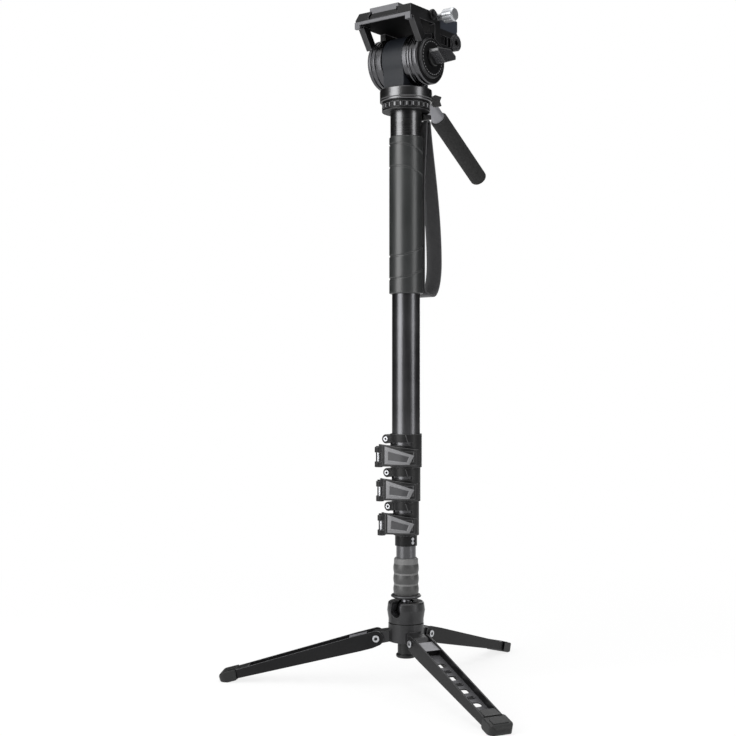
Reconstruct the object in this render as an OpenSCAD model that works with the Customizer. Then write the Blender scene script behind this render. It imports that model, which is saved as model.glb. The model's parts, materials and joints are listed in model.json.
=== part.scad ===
// Video monopod with three folding feet, a four-section column and a two-way fluid head.
// Millimetres, +Z up. The origin is on the column's axis at floor level; the head faces -Y.

/* [Base] */
// Diameter of the lower hub
hub_d = 38; // [34:0.5:42]
// Height of the lower hub
hub_h = 19.5; // [17:0.5:24]
// Height of the hub's underside above the floor
hub_clear = 47; // [44:0.5:52]
// Height of the centre foot's underside above the floor
foot_clear = 29.4; // [24:0.2:34]
// Diameter of the centre foot's neck
foot_neck_d = 18; // [14:0.5:20]
// Diameter of the centre foot's flare
foot_flare_d = 21.4; // [20.5:0.2:26]
// Height of the centre foot's flare
foot_flare_h = 4; // [3:0.2:6]
// Diameter of the stud inside the centre foot
foot_stud_d = 8; // [6:0.5:10]
// Diameter of the swivel spigot under the ball housing
swivel_d = 18; // [16:0.5:20]
// Wall of the swivel bush
bush_wall = 2; // [1.5:0.1:2.5]
// Depth of the hollow under the hub
hollow_h = 7.5; // [7:0.25:9]
// Thread diameter of the swivel screw
swivel_screw_d = 6; // [5:0.5:8]

/* [Legs] */
// Distance of the leg pivots from the column's axis
leg_pivot_r = 31.5; // [30:0.25:34]
// Height of the leg pivots above the hub's underside
leg_pivot_rise = 3.3; // [2:0.1:5]
// Distance of the boots' tips from the column's axis
leg_reach = 202; // [180:1:230]
// Width of a leg channel
leg_w = 21; // [19.8:0.1:22]
// Thickness of a leg's side walls
leg_wall = 1.6; // [1.5:0.1:2]
// Thickness of a leg's floor
leg_floor = 1.6; // [1.4:0.1:2]
// Depth of a leg's channel under its rim
channel_depth = 7.3; // [6.5:0.1:8]
// Radius of the rounded hinge end of a leg
leg_eye_r = 8; // [7.5:0.1:9]
// Depth of a leg under its pivot
leg_drop = 9; // [8.8:0.1:10]
// Height of a leg over its centre line near the boot
leg_tip_rise = 4.2; // [3.5:0.1:5]
// Depth of a leg under its centre line near the boot
leg_tip_drop = 4.6; // [4:0.1:5.5]
// Spacing of the slots in a leg's floor
slot_pitch = 12.4; // [11:0.1:13]
// Number of slots in a leg's floor
slot_count = 7; // [3:1:7]
// Width of a blind slot along the leg
slot_w = 5.4; // [4:0.2:6]
// Width of an open slot along the leg
hole_w = 8; // [6:0.2:8.4]
// Length of a slot across the leg
slot_l = 12; // [9:0.2:13]
// Depth of the slots that do not go through
slot_blind = 0.9; // [0.6:0.1:1.1]
// Radius of the hub's hinge lugs
lug_r = 6.5; // [5.5:0.1:6.6]
// Diameter of the leg pivot screws
leg_pin_d = 5; // [4:0.25:6]
// Head diameter of the leg pivot screws
leg_pin_head_d = 7.4; // [6.6:0.2:9]
// Head height of the leg pivot screws
leg_pin_head_h = 1.6; // [1.2:0.1:2.4]
// Width of a boot
boot_w = 24.6; // [24.4:0.2:26]
// Length of a boot
boot_len = 34; // [30:0.5:38]
// Length of a boot's sleeve around the leg
boot_sleeve = 20; // [17:0.5:24]
// Thickness of a boot
boot_h = 11.6; // [11:0.1:12.6]
// Height of a boot over the leg's centre line
boot_rise = 5.2; // [5:0.1:5.6]
// Height of the legs' centre lines above the floor at the boots' tips
boot_tip_h = 3.8; // [3.4:0.1:4.2]

/* [Ball joint] */
// Diameter of the ball
ball_d = 20; // [19:0.5:22]
// Height of the ball's centre above the hub
ball_rise = 13.5; // [13.25:0.25:15]
// Diameter of the stem above the ball
neck_d = 10; // [8:0.25:11]
// Largest diameter of the ball housing
housing_d = 40.5; // [39:0.5:43]
// Height of the ball housing
housing_h = 22.3; // [21.5:0.2:23.5]
// Diameter of the ball housing's rim
housing_rim_d = 36; // [34:0.5:37]
// Diameter of the bore that holds the ball seats
seat_bore_d = 29; // [28:0.5:30]
// Room on each side of the stem in the housing's notch
notch_room = 0.85; // [0.6:0.05:1.2]
// Thickness of the housing's floor
housing_floor = 2.6; // [2.2:0.1:2.8]
// Thickness of the lip that keeps the ball in
housing_lip = 3.2; // [2.6:0.1:3.6]

/* [Lock sleeve] */
// Gap between the ball housing and the sleeve's flange
sleeve_rise = 3.6; // [3.2:0.1:4.4]
// Diameter of the flange
flange_d = 32.4; // [30:0.2:34]
// Height of the flange
flange_h = 3.6; // [3:0.2:4.4]
// Height of the ribbed part
ribbed_h = 39.5; // [36:0.5:42]
// Diameter over the ribs
ribbed_d = 27.4; // [26.6:0.2:29]
// Depth of the valleys between the ribs
rib_depth = 0.8; // [0.4:0.1:1]
// Number of ribs
rib_count = 3; // [2:1:5]
// Height of the plain band over the ribs
band_h = 5.5; // [4:0.25:7]
// Wall of the sleeve under the rubber
sleeve_wall = 1.6; // [1.2:0.1:1.8]
// How far the sleeve lifts when the column leans
sleeve_travel = 12.4; // [12:0.1:12.8]

/* [Column] */
// Outer diameter of the upper tube
tube_d = 30; // [29:0.25:31]
// Difference in diameter from one tube to the next
tube_step = 3; // [2.8:0.05:3.2]
// Wall of the tubes
tube_wall = 1.2; // [1:0.05:1.2]
// Length of the lowest tube's stretch under the stop collar
tube_foot = 46; // [44:0.5:47]
// Height of the stop collar
stop_h = 11; // [9:0.25:12]
// Wall of the stop collar
stop_wall = 1.3; // [1.1:0.1:1.8]
// Diameter of the stop collar's set screws
set_screw_d = 3.2; // [2.4:0.2:3.4]
// Azimuth of the set screws
set_screw_az = 342.6; // [330:0.2:355]
// Height of the tops of the three inner tubes above one another
tube_top_step = 14; // [13:0.5:16]
// Height of the guide rings
guide_h = 6; // [4:0.5:6]
// How deep the guide rings plug into their tubes
guide_plug = 6; // [4:0.5:6]
// Wall of the guide rings
guide_wall = 2; // [1.6:0.1:2.6]

/* [Locks] */
// Distance from one lock to the next
lock_pitch = 36.25; // [34:0.25:40]
// Wall of a lock collar over its tube
collar_wall = 1.9; // [1.6:0.1:2.4]
// Height of a collar's clamp part, under the upper tube's end
clamp_h = 22; // [20:0.5:23]
// Direction of the levers' hinge ears
lock_az = 217; // [190:1:240]
// Distance of the levers' hinges from the collars
hinge_out = 12.4; // [12:0.1:14]
// How far a lever's hinge lies to its own side of the ears
hinge_side = 8.6; // [8.4:0.1:9.4]
// Radius of a lever's cam
cam_r = 4.3; // [4:0.1:4.4]
// Height of a lever's cam
cam_h = 21.5; // [19:0.25:22]
// Height of the slot in a lever's cam
cam_slot = 9.5; // [7:0.25:11]
// Diameter of the T-bolts' cross barrels
barrel_d = 3.8; // [3:0.1:4.2]
// Diameter of the T-bolts' shanks
shank_d = 3.2; // [2.6:0.1:3.6]
// Thickness of the rear ears
rear_ear = 6.5; // [5:0.25:8]
// Thickness of the front ears
front_ear = 3; // [2.4:0.1:3.1]
// Width of the split between the ears
split_w = 2; // [1.4:0.1:2.2]
// Thickness of a lever's plate
lever_t = 3.2; // [2.4:0.1:3.6]
// How far a lever's pad stands out of its plate
pad_t = 1.8; // [1.2:0.1:2.4]
// Depth of the panel in a lever's pad
panel_depth = 0.8; // [0.4:0.1:1]
// Height of a lever at its hinge side
lever_h = 24.5; // [22:0.5:26]
// Drop of a lever's top edge towards its free end
lever_slope = 6; // [4:0.5:9]
// Angle round the column at which a lever ends
lever_end_az = 132; // [120:1:140]
// Height of the pinch screws above the collars' undersides
pinch_z = 29.6; // [29.2:0.1:30.8]
// Radius of the pinch bosses
pinch_r = 5; // [4.4:0.1:5.1]
// Length of the pinch bosses
pinch_l = 12; // [11:0.5:14]
// Head diameter of the pinch screws
pinch_head_d = 5.6; // [5:0.2:6.6]

/* [Grip and top] */
// Height of the grip's lower end above the upper lock
grip_rise = 149.4; // [130:0.2:160]
// Length of the grip
grip_l = 167; // [150:1:170]
// Diameter of the grip
grip_d = 36; // [34:0.5:40]
// Depth of the grip's ring grooves
groove_depth = 0.7; // [0.4:0.1:1]
// Height of the grip's ring grooves
groove_h = 1.4; // [1:0.1:2]
// Distances of the ring grooves from the grip's lower end
groove_at = [16, 40, 135, 159];
// Height of the top cap
cap_h = 27.4; // [25:0.2:32]
// Diameter of the top cap
cap_d = 33.6; // [33:0.2:36]
// Thickness of the top cap over the upper tube
cap_top = 12.8; // [10:0.2:14]
// Diameter of the head's mounting stud
stud_d = 9.525; // [9.525:0.001:9.525]
// Length of the stud inside the head
stud_up = 6; // [5:0.25:6.5]

/* [Strap] */
// Direction in which the strap hangs
strap_az = 80; // [70:1:90]
// Width of the strap
strap_w = 22; // [18:0.5:25]
// Thickness of the strap
strap_t = 1.6; // [1.2:0.1:2]
// Length of the loop below its bar
strap_drop = 187; // [170:1:195]
// Distance of the strap's bar from the column's axis
strap_bar_r = 23.5; // [22.5:0.25:25]
// Diameter of the strap's bar
strap_bar_d = 3; // [2.4:0.2:3.6]
// Height of the strap's bar above the cap's underside
strap_bar_z = 17.6; // [14:0.2:22]
// Distance of the outer run from the column's axis at the bottom
strap_out_r = 43; // [38:0.5:48]
// Gap between the grip and the inner run
strap_grip_gap = 0.8; // [0.5:0.1:2]

/* [Head] */
// Diameter of the index ring
index_d = 51.5; // [49:0.5:54]
// Height of the index ring
index_h = 9.2; // [8.4:0.2:11]
// Number of notches round the index ring
index_notches = 24; // [12:4:36]
// Diameter of the pan disc
pan_d = 56; // [54:0.5:57]
// Height of the pan disc
pan_h = 13.6; // [12:0.2:15]
// Diameter of the pan pivot
pan_pivot_d = 16; // [14:0.5:20]
// Height of the tilt axis above the pan disc
tilt_rise = 30; // [29:0.5:33]
// Radius of the head body's drum
drum_r = 26.5; // [25:0.25:27.5]
// Width of the head body's drum
drum_w = 26; // [22:0.5:28]
// Radius of the drag rings
drag_r = 27.5; // [26.5:0.25:28.5]
// Width of a drag ring
drag_w = 8.3; // [7:0.1:9]
// Diameter of the tilt shaft
tilt_shaft_d = 10; // [8:0.5:12]
// Azimuth of the pan lock
pan_knob_az = 65; // [50:1:80]
// Length of the pan lock's wing
pan_wing_l = 10; // [8:0.5:14]
// Height of the pan lock's wing
pan_wing_h = 13; // [10:0.5:14]

/* [Cradle] */
// Overall width of the cradle
cradle_w = 72; // [72:0.5:76]
// Distance of the cradle's front edge from the tilt axis
cradle_front = 42; // [39:0.5:46]
// Distance of the cradle's rear edge from the tilt axis
cradle_rear = 45; // [42:0.5:48]
// Height of the cradle's underside above the tilt axis
cradle_rise = 36; // [33:0.5:39]
// Thickness of the cradle's floor
cradle_floor = 4.6; // [4:0.1:5.4]
// Height of the cradle's rails above its floor
rail_h = 7.4; // [7:0.1:8]
// Width of the chamfer on the left rail
rail_chamfer = 5; // [3:0.25:7]
// Height of the bright trim bar along the cradle's front edge
trim_h = 3.2; // [2.4:0.1:4]
// Thickness of the trim bar
trim_t = 1.4; // [1:0.1:2]
// Radius of the cradle's side hubs
side_hub_r = 27; // [25.5:0.25:27.5]
// Width of a side hub
side_hub_w = 10; // [9:0.25:11]
// Radius of the end caps
end_cap_r = 21; // [18:0.5:24]
// Thickness of the end caps
end_cap_t = 2.4; // [1.6:0.1:3]
// Thickness of the side frames
frame_t = 7; // [6:0.25:7.5]
// Depth of the pockets in the side frames
pocket_depth = 3.4; // [2:0.1:3.6]
// Height of the pockets in the side frames
pocket_h = 9.5; // [7:0.5:10]
// Distance of the rosettes behind the tilt axis
rosette_y = 41.5; // [41:0.5:45]
// Height of the rosettes above the tilt axis
rosette_z = 24; // [22:0.5:26]
// Radius of the rosettes
rosette_r = 8.7; // [8:0.1:9.6]
// Diameter of the rosettes' threaded holes
rosette_hole_d = 6; // [5:0.25:8]
// How far the rosettes stand out of the side frames
rosette_out = 1.5; // [1:0.1:2]

/* [Camera plate] */
// Width of the camera plate
plate_w = 37; // [35:0.25:38]
// Length of the camera plate
plate_l = 78; // [70:0.5:84]
// Height of the camera plate's dovetail
dovetail_h = 7.5; // [7.4:0.1:8]
// Thickness of the camera plate over its dovetail
plate_t = 3.8; // [3:0.1:4.6]
// Depth of the dovetail's grooves
dovetail_in = 2.6; // [2:0.1:3]
// Diameter of the camera screw (1/4 in)
camera_screw_d = 6.35; // [6.35:0.001:6.35]
// Length of the camera screw above the plate
camera_screw_up = 5; // [4.5:0.1:5.5]
// Head diameter of the camera screw
camera_head_d = 14; // [11:0.5:15]
// Distance of the plate lock knob behind the tilt axis
lock_knob_y = 8; // [6:0.5:12]
// Diameter of the plate lock knob
lock_knob_d = 14.6; // [13:0.2:17]
// Length of the plate lock knob
lock_knob_l = 10; // [8:0.5:14]
// Diameter of the plate lock's screw inside the cradle
lock_stem_d = 5.5; // [4.5:0.25:6]
// Diameter of the plate lock knob's neck outside the cradle
lock_neck_d = 7; // [6.5:0.25:8]
// Length of the stem outside the cradle
lock_stem_out = 11.5; // [9:0.5:13]
// Number of flutes on the plate lock knob
lock_flutes = 14; // [10:1:18]
// Length of the clamp jaw
jaw_l = 34; // [30:0.5:36]
// Travel of the clamp jaw
jaw_travel = 1; // [0.8:0.1:1.2]
// Distance of the safety button from the tilt axis, to the front
button_y = 4; // [3:0.25:5]
// Diameter of the safety button
button_d = 6; // [5:0.25:6.4]
// Travel of the safety button
button_travel = 2; // [1.5:0.1:2.5]

/* [Tilt lock] */
// How far the tilt lock stands out of the end cap
tilt_knob_out = 14.5; // [12:0.5:18]
// Length of the tilt lock to the rear
tilt_knob_rear = 23; // [18:0.5:28]
// Length of the tilt lock to the front
tilt_knob_front = 12; // [9.5:0.5:13]
// Height of the tilt lock at its hub
tilt_knob_h = 15; // [12:0.5:17]
// Height of the tilt lock at its tip
tilt_knob_tip = 5; // [3:0.25:8]

/* [Handle] */
// Angle of the handle below the horizontal
handle_slope = 33.7; // [20:0.1:45]
// Length of the handle from its rosette
handle_l = 215; // [190:1:230]
// Diameter of the handle's tube
handle_tube_d = 16; // [13:0.25:17]
// Length of the handle's grip
handle_grip_l = 110; // [95:1:115]
// How far the handle's tube lies above the centre of its eye
handle_lift = 1.5; // [1:0.1:2]
// Diameter of the handle's grip
handle_grip_d = 20.5; // [19:0.25:21]
// Diameter of the handle's core inside its grip
handle_core_d = 12; // [9:0.5:13]
// Width of the handle's eye
handle_eye_w = 16.5; // [16:0.25:18]
// Diameter of the handle's clamp knob
handle_knob_d = 19; // [16:0.5:22]
// Length of the handle's clamp knob
handle_knob_l = 11; // [9:0.5:14]

/* [Fits] */
// Radial clearance of pins, shafts and guides
run_gap = 0.06; // [0.03:0.01:0.09]
// Gap between faces that move past each other
face_gap = 0.4; // [0.3:0.05:0.6]
// Radial gap of pieces seated in one another
seat_gap = 0.05; // [0.02:0.01:0.09]

/* [Hidden] */
$fn = 64;
// Room that cutting shapes take past the faces they cut
past = 1;
black = [0.11, 0.11, 0.12];
charcoal = [0.2, 0.2, 0.21];
rubber_black = [0.15, 0.16, 0.16];
rib_grey = [0.34, 0.34, 0.34];
slate = [0.19, 0.21, 0.25];
silver = [0.85, 0.85, 0.86];
steel = [0.6, 0.6, 0.62];
handle_grey = [0.42, 0.42, 0.44];
nylon = [0.75, 0.74, 0.7];

// Base heights
hub_top = hub_clear + hub_h;
shoulder_z = hub_clear + hollow_h;
bush_d = swivel_d + 2 * (run_gap + bush_wall);
hollow_d = bush_d + 4.6;
plug_t = 1.4;
pivot_z = hub_clear + leg_pivot_rise;
lug_w = leg_w - 2 * leg_wall - 2 * face_gap;
leg_azimuths = [90, 212, 332];
leg_slope = atan2(pivot_z - boot_tip_h, leg_reach - leg_pivot_r);
leg_span = (leg_reach - leg_pivot_r) / cos(leg_slope);
leg_end = leg_span - 7;
web_from = 3;
bridge_from = 10;
bridge_to = 29.5;
slots_from = leg_span - boot_len - 19 - (slot_count - 1) * slot_pitch;

// Ball joint heights
housing_z = hub_top + face_gap;
housing_top = housing_z + housing_h;
ball_z = hub_top + ball_rise;
seat_r = ball_d / 2 + run_gap;
notch_r = neck_d / 2 + notch_room;
lip_z = housing_top - housing_lip;
lip_r = sqrt(pow(ball_d / 2, 2) - pow(lip_z - ball_z, 2)) + 0.5;
cup_floor = housing_z + housing_floor;

// Sleeve and column heights
flange_z = housing_top + sleeve_rise;
ribbed_z = flange_z + flange_h;
ribbed_top = ribbed_z + ribbed_h;
stop_z = ribbed_top + sleeve_travel + face_gap;
stop_top = stop_z + stop_h;
tube_bottom = stop_z - tube_foot;
tube_r = [for (n = [0 : 4]) (tube_d - (n - 1) * tube_step) / 2];
lock_h = lock_pitch - face_gap;
lock_z = [for (n = [0 : 3]) stop_top + face_gap + (3 - n) * lock_pitch];
upper_lock_top = lock_z[1] + lock_h;
grip_z = upper_lock_top + grip_rise;
grip_top = grip_z + grip_l;
cap_top_z = grip_top + cap_h;
tube_1_top = cap_top_z - cap_top;
tube_top = [for (n = [0 : 4]) tube_1_top - (n == 1 ? 0 : 24 + n * tube_top_step - tube_top_step)];
tube_base = [for (n = [0 : 4]) n == 4 ? tube_bottom : lock_z[max(n, 1)] + clamp_h];
sleeve_bore_r = tube_r[4] + run_gap;

// Head heights
index_z = cap_top_z;
index_top = index_z + index_h;
pan_z = index_top + face_gap;
pan_top = pan_z + pan_h;
tilt_z = pan_top + tilt_rise;
drag_from = drum_w / 2 + 0.2;
drag_to = drag_from + drag_w;
side_hub_from = drag_to + face_gap;
side_hub_to = side_hub_from + side_hub_w;
end_face = side_hub_to + end_cap_t;
frame_from = cradle_w / 2 - frame_t;
cradle_z = tilt_z + cradle_rise;
rail_z = cradle_z + cradle_floor;
rail_top = rail_z + rail_h;
plate_z = rail_z + 0.2;
plate_top = plate_z + dovetail_h + plate_t;
channel_half = plate_w / 2 + 0.4;
jaw_t = 6;
jaw_back = channel_half + jaw_t - 0.3;
lock_knob_z = rail_z + rail_h / 2 - 0.3;
button_z = rail_z + rail_h / 2;
rosette_face = cradle_w / 2 + rosette_out;
frame_pockets = [[13, 25], [27.5, 32]];
handle_eye_from = rosette_face + face_gap;
handle_eye_to = handle_eye_from + handle_eye_w;
handle_x = handle_eye_to - handle_tube_d / 2 - 0.3;
pan_knob_z = pan_z + pan_h / 2 - 0.6;
pan_knob_d = 5;

// Solid of revolution of [radius, height] points about the column's axis
module turned(points) {
    rotate_extrude() polygon(points);
}

// Ring between two radii from one height to another
module ring(outer, inner, from, to) {
    turned([[inner, from], [outer, from], [outer, to], [inner, to]]);
}

// Cylinder along X from one place to another, at a given Y and Z
module rod_x(r, from, to, y, z) {
    translate([from, y, z]) rotate([0, 90, 0]) cylinder(r = r, h = to - from);
}

// Plate across X from one place to another, with a side outline of [y, z] points
module plate_x(from, to) {
    translate([from, 0, 0]) rotate([90, 0, 90]) linear_extrude(to - from) children();
}

// Plate across Y, centred, with an outline of [x, z] points
module plate_y(width) {
    translate([0, width / 2, 0]) rotate([90, 0, 0]) linear_extrude(width) children();
}

// Places its children at a leg's pivot, X along the leg
module on_leg(azimuth) {
    rotate(azimuth) translate([leg_pivot_r, 0, pivot_z]) rotate([0, leg_slope, 0]) children();
}

// Base

module base_hub() {
    color(charcoal) difference() {
        union() {
            translate([0, 0, hub_clear]) cylinder(d = hub_d, h = hub_h);
            for (azimuth = leg_azimuths) rotate(azimuth) hinge_lug();
        }
        translate([0, 0, hub_clear - past]) cylinder(d = hollow_d, h = hollow_h + past);
        translate([0, 0, hub_clear]) cylinder(d = bush_d + 2 * seat_gap, h = hub_h + past);
        for (azimuth = leg_azimuths)
            rotate(azimuth) translate([leg_pivot_r, 0, pivot_z]) rotate([90, 0, 0])
                cylinder(d = leg_pin_d + 2 * seat_gap, h = leg_w, center = true);
    }
}

// Lug that reaches from the hub out to a leg's pivot
module hinge_lug() {
    root = hub_d / 2 - 2;
    plate_y(lug_w) union() {
        translate([leg_pivot_r, pivot_z]) circle(r = lug_r);
        polygon([
            [root, hub_clear], [leg_pivot_r, pivot_z - lug_r],
            [leg_pivot_r, pivot_z + lug_r], [root, hub_clear + 12]
        ]);
    }
}

module swivel_bush() {
    color(nylon) ring(bush_d / 2, swivel_d / 2 + run_gap, shoulder_z, hub_top);
}

module foot_stud() {
    color(steel) union() {
        translate([0, 0, hub_clear]) cylinder(d = hollow_d - 2 * seat_gap, h = plug_t);
        translate([0, 0, foot_clear + 4]) cylinder(d = foot_stud_d, h = hub_clear - foot_clear - 4);
    }
}

module centre_foot() {
    neck = foot_neck_d / 2;
    flare = foot_flare_d / 2;
    bore = foot_stud_d / 2 + seat_gap;
    color(rubber_black) turned([
        [0, foot_clear], [flare - 0.8, foot_clear], [flare, foot_clear + 1.2],
        [flare, foot_clear + foot_flare_h - 1], [neck, foot_clear + foot_flare_h + 0.6],
        [neck, hub_clear], [bore, hub_clear], [bore, foot_clear + 4], [0, foot_clear + 4]
    ]);
}

module leg_pins() {
    head_at = leg_w / 2 + 0.2;
    color(silver) for (azimuth = leg_azimuths) on_leg(azimuth) rotate([90, 0, 0]) union() {
        cylinder(d = leg_pin_d, h = 2 * head_at, center = true);
        for (side = [0, 1]) mirror([0, 0, side]) translate([0, 0, head_at]) difference() {
            cylinder(d = leg_pin_head_d, h = leg_pin_head_h);
            translate([0, 0, leg_pin_head_h / 2]) cylinder(d = leg_pin_head_d / 2, h = leg_pin_head_h, $fn = 6);
        }
    }
}

// Side outline of a leg
module leg_outline() {
    circle(r = leg_eye_r);
    polygon([
        [0, leg_eye_r], [20, leg_eye_r], [leg_end, leg_tip_rise],
        [leg_end, -leg_tip_drop], [20, -leg_drop], [6, -leg_drop], [0, -leg_eye_r]
    ]);
}

module leg(azimuth) {
    inner_w = leg_w - 2 * leg_wall;
    hollow_to = leg_span - boot_sleeve - 4;
    color(black) on_leg(azimuth) difference() {
        union() {
            difference() {
                plate_y(leg_w) leg_outline();
                plate_y(inner_w) polygon([
                    [-leg_eye_r - past, -leg_drop - past], [web_from, -leg_drop - past],
                    [web_from, -leg_drop + leg_floor], [bridge_to - 1, -leg_drop + leg_floor],
                    [bridge_to - 1, floor_top(bridge_to - 1)], [leg_end + past, floor_top(leg_end + past)],
                    [leg_end + past, leg_eye_r + past], [-leg_eye_r - past, leg_eye_r + past]
                ]);
                plate_y(inner_w) polygon([
                    [bridge_to + 1, -leg_drop - past], [hollow_to, -leg_drop - past],
                    [hollow_to, floor_top(hollow_to) - leg_floor],
                    [bridge_to + 1, floor_top(bridge_to + 1) - leg_floor]
                ]);
            }
            plate_y(inner_w) polygon([
                [bridge_from, -leg_drop], [bridge_to, -leg_drop + 0.5],
                [bridge_to, leg_eye_r - 1.4], [bridge_from, leg_eye_r - 2]
            ]);
        }
        rotate([90, 0, 0]) cylinder(d = leg_pin_d + 2 * run_gap, h = leg_w + 2 * past, center = true);
        for (i = [0 : slot_count - 1]) floor_slot(slots_from + i * slot_pitch, i % 2 == 0);
    }
}

// Height of the top of a leg's floor, at a distance along the leg
function floor_top(at) =
    leg_eye_r - channel_depth - (at - 20) / (leg_end - 20) * (leg_eye_r - leg_tip_rise);

// Oval slot across a leg's floor, right through or blind
module floor_slot(at, through) {
    wide = through ? hole_w : slot_w;
    low = floor_top(at) - (through ? leg_floor + past : slot_blind);
    half = (slot_l - wide) / 2;
    translate([at, 0, low]) linear_extrude(leg_floor + 2 * past) union() {
        for (side = [-1, 1]) translate([0, side * half]) circle(d = wide);
        square([wide, 2 * half], center = true);
    }
}

module boot(azimuth) {
    low = boot_rise - boot_h;
    round_r = boot_h / 2;
    corner = 7;
    half = boot_w / 2;
    back = leg_span - boot_sleeve;
    tongue_w = leg_w - 2 * leg_wall - 2 * seat_gap;
    color(rubber_black) intersection() {
        on_leg(azimuth) union() {
            difference() {
                intersection() {
                    union() {
                        plate_y(boot_w) polygon([
                            [back, boot_rise], [leg_span - round_r, boot_rise], [leg_span - round_r, low],
                            [back + 2, low], [back, low + 1]
                        ]);
                        translate([leg_span - round_r, 0, boot_rise - round_r]) rotate([90, 0, 0])
                            cylinder(r = round_r, h = boot_w, center = true);
                    }
                    translate([back, 0, low - past]) union() {
                        translate([0, -half, 0]) cube([boot_sleeve - corner, boot_w, boot_h + 2 * past]);
                        translate([0, corner - half, 0]) cube([boot_sleeve, boot_w - 2 * corner, boot_h + 2 * past]);
                        for (side = [-1, 1]) translate([boot_sleeve - corner, side * (half - corner), 0])
                            cylinder(r = corner, h = boot_h + 2 * past);
                    }
                }
                plate_y(leg_w + 2 * seat_gap) polygon([
                    [20, leg_eye_r], [leg_end, leg_tip_rise],
                    [leg_end, -leg_tip_drop], [20, -leg_drop]
                ]);
            }
            plate_y(tongue_w) polygon([
                [leg_span - boot_len, floor_top(leg_span - boot_len)], [leg_end + past, floor_top(leg_end + past)],
                [leg_end + past, boot_rise - 0.4], [back, boot_rise - 0.2], [leg_span - boot_len, boot_rise - 0.6]
            ]);
        }
        cylinder(r = leg_reach + boot_w, h = pivot_z);
    }
}

module rear_leg() { leg(leg_azimuths[0]); }
module left_leg() { leg(leg_azimuths[1]); }
module right_leg() { leg(leg_azimuths[2]); }
module rear_boot() { boot(leg_azimuths[0]); }
module left_boot() { boot(leg_azimuths[1]); }
module right_boot() { boot(leg_azimuths[2]); }

// Ball joint

// Notch that lets the stem lean over to the front
module lean_notch() {
    translate([0, 0, ball_z]) rotate([90, 0, 0]) cylinder(r = notch_r, h = housing_d);
    translate([-notch_r, -housing_d, ball_z]) cube([2 * notch_r, housing_d, housing_h]);
}

module ball_housing() {
    rim = housing_rim_d / 2;
    wide = housing_d / 2;
    base = hub_d / 2 - 0.2;
    color(charcoal) difference() {
        turned([
            [0, shoulder_z], [swivel_d / 2, shoulder_z], [swivel_d / 2, housing_z], [base, housing_z],
            [base, housing_z + 4], [wide, ball_z], [wide - 0.5, ball_z + 4],
            [rim + 1.2, housing_top - 1.2], [rim, housing_top], [lip_r, housing_top], [lip_r, lip_z],
            [seat_bore_d / 2, lip_z], [seat_bore_d / 2, cup_floor], [0, cup_floor]
        ]);
        translate([0, 0, shoulder_z - past])
            cylinder(d = swivel_screw_d + 2 * seat_gap, h = housing_z - shoulder_z + past);
        lean_notch();
    }
}

// Ring that holds the ball, from one height to another
module ball_seat(from, to) {
    color(black) difference() {
        translate([0, 0, from]) cylinder(d = seat_bore_d - 2 * seat_gap, h = to - from);
        translate([0, 0, ball_z]) sphere(r = seat_r);
        lean_notch();
    }
}

module lower_ball_seat() { ball_seat(cup_floor, ball_z - face_gap); }
module upper_ball_seat() {
    color(black) difference() {
        ball_seat(ball_z + face_gap, lip_z);
        translate([0, 0, ball_z]) cylinder(r = lip_r, h = housing_h);
    }
}

module swivel_screw() {
    head_top = shoulder_z - 2;
    color(steel) union() {
        translate([0, 0, head_top]) cylinder(d = hollow_d - 1.2, h = 1.9);
        translate([0, 0, hub_clear + plug_t + face_gap]) cylinder(d = 10, h = head_top - hub_clear - plug_t - face_gap);
        translate([0, 0, head_top]) cylinder(d = swivel_screw_d, h = housing_z - head_top - 2);
    }
}

module ball_stem() {
    plug_r = tube_r[4] - tube_wall - seat_gap;
    color(black) union() {
        translate([0, 0, ball_z]) sphere(d = ball_d);
        translate([0, 0, ball_z]) cylinder(d = neck_d, h = tube_bottom - ball_z);
        translate([0, 0, tube_bottom - 2]) cylinder(r = tube_r[4], h = 2);
        translate([0, 0, tube_bottom]) cylinder(r = plug_r, h = 30);
    }
}

// Lock sleeve

module lock_sleeve() {
    outer = sleeve_bore_r + sleeve_wall;
    flange = flange_d / 2;
    color(charcoal) turned([
        [sleeve_bore_r, flange_z], [flange - 3, flange_z], [flange, flange_z + 1.6],
        [flange, ribbed_z - 0.8], [flange - 0.8, ribbed_z], [outer, ribbed_z],
        [outer, ribbed_top - 1], [sleeve_bore_r, ribbed_top - 1]
    ]);
}

// Outline of one rib, from its lower valley to its upper one
function rib(i, pitch) = [
    for (k = [0 : 6])
        [ribbed_d / 2 - rib_depth * (1 - sin(180 * k / 6)), ribbed_z + (i + k / 6) * pitch]
];

module sleeve_grip() {
    inner = sleeve_bore_r + sleeve_wall + seat_gap;
    pitch = (ribbed_h - band_h) / rib_count;
    valley = ribbed_d / 2 - rib_depth;
    ribs = [for (i = [0 : rib_count - 1]) each [for (k = [0 : 5]) rib(i, pitch)[k]]];
    color(rib_grey) turned(concat(
        [[inner, ribbed_z]], ribs,
        [
            [valley, ribbed_top - band_h], [valley, ribbed_top - 1.4], [valley - 1.4, ribbed_top],
            [sleeve_bore_r, ribbed_top], [sleeve_bore_r, ribbed_top - 1 + seat_gap],
            [inner, ribbed_top - 1 + seat_gap]
        ]
    ));
}

// Column

// Tube of one section, the upper one being number 1
module section_tube(n) {
    color(black) ring(tube_r[n], tube_r[n] - tube_wall, tube_base[n], tube_top[n]);
}

// Ring at the top of an inner tube that slides in the tube around it
module tube_guide(n) {
    plug = tube_r[n] - tube_wall - seat_gap;
    slide = tube_r[n - 1] - tube_wall - run_gap;
    top = tube_top[n] + guide_h;
    color(nylon) turned([
        [plug - guide_wall, tube_top[n] - guide_plug], [plug, tube_top[n] - guide_plug], [plug, tube_top[n]],
        [slide, tube_top[n]], [slide, top], [plug - guide_wall, top]
    ]);
}

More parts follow.
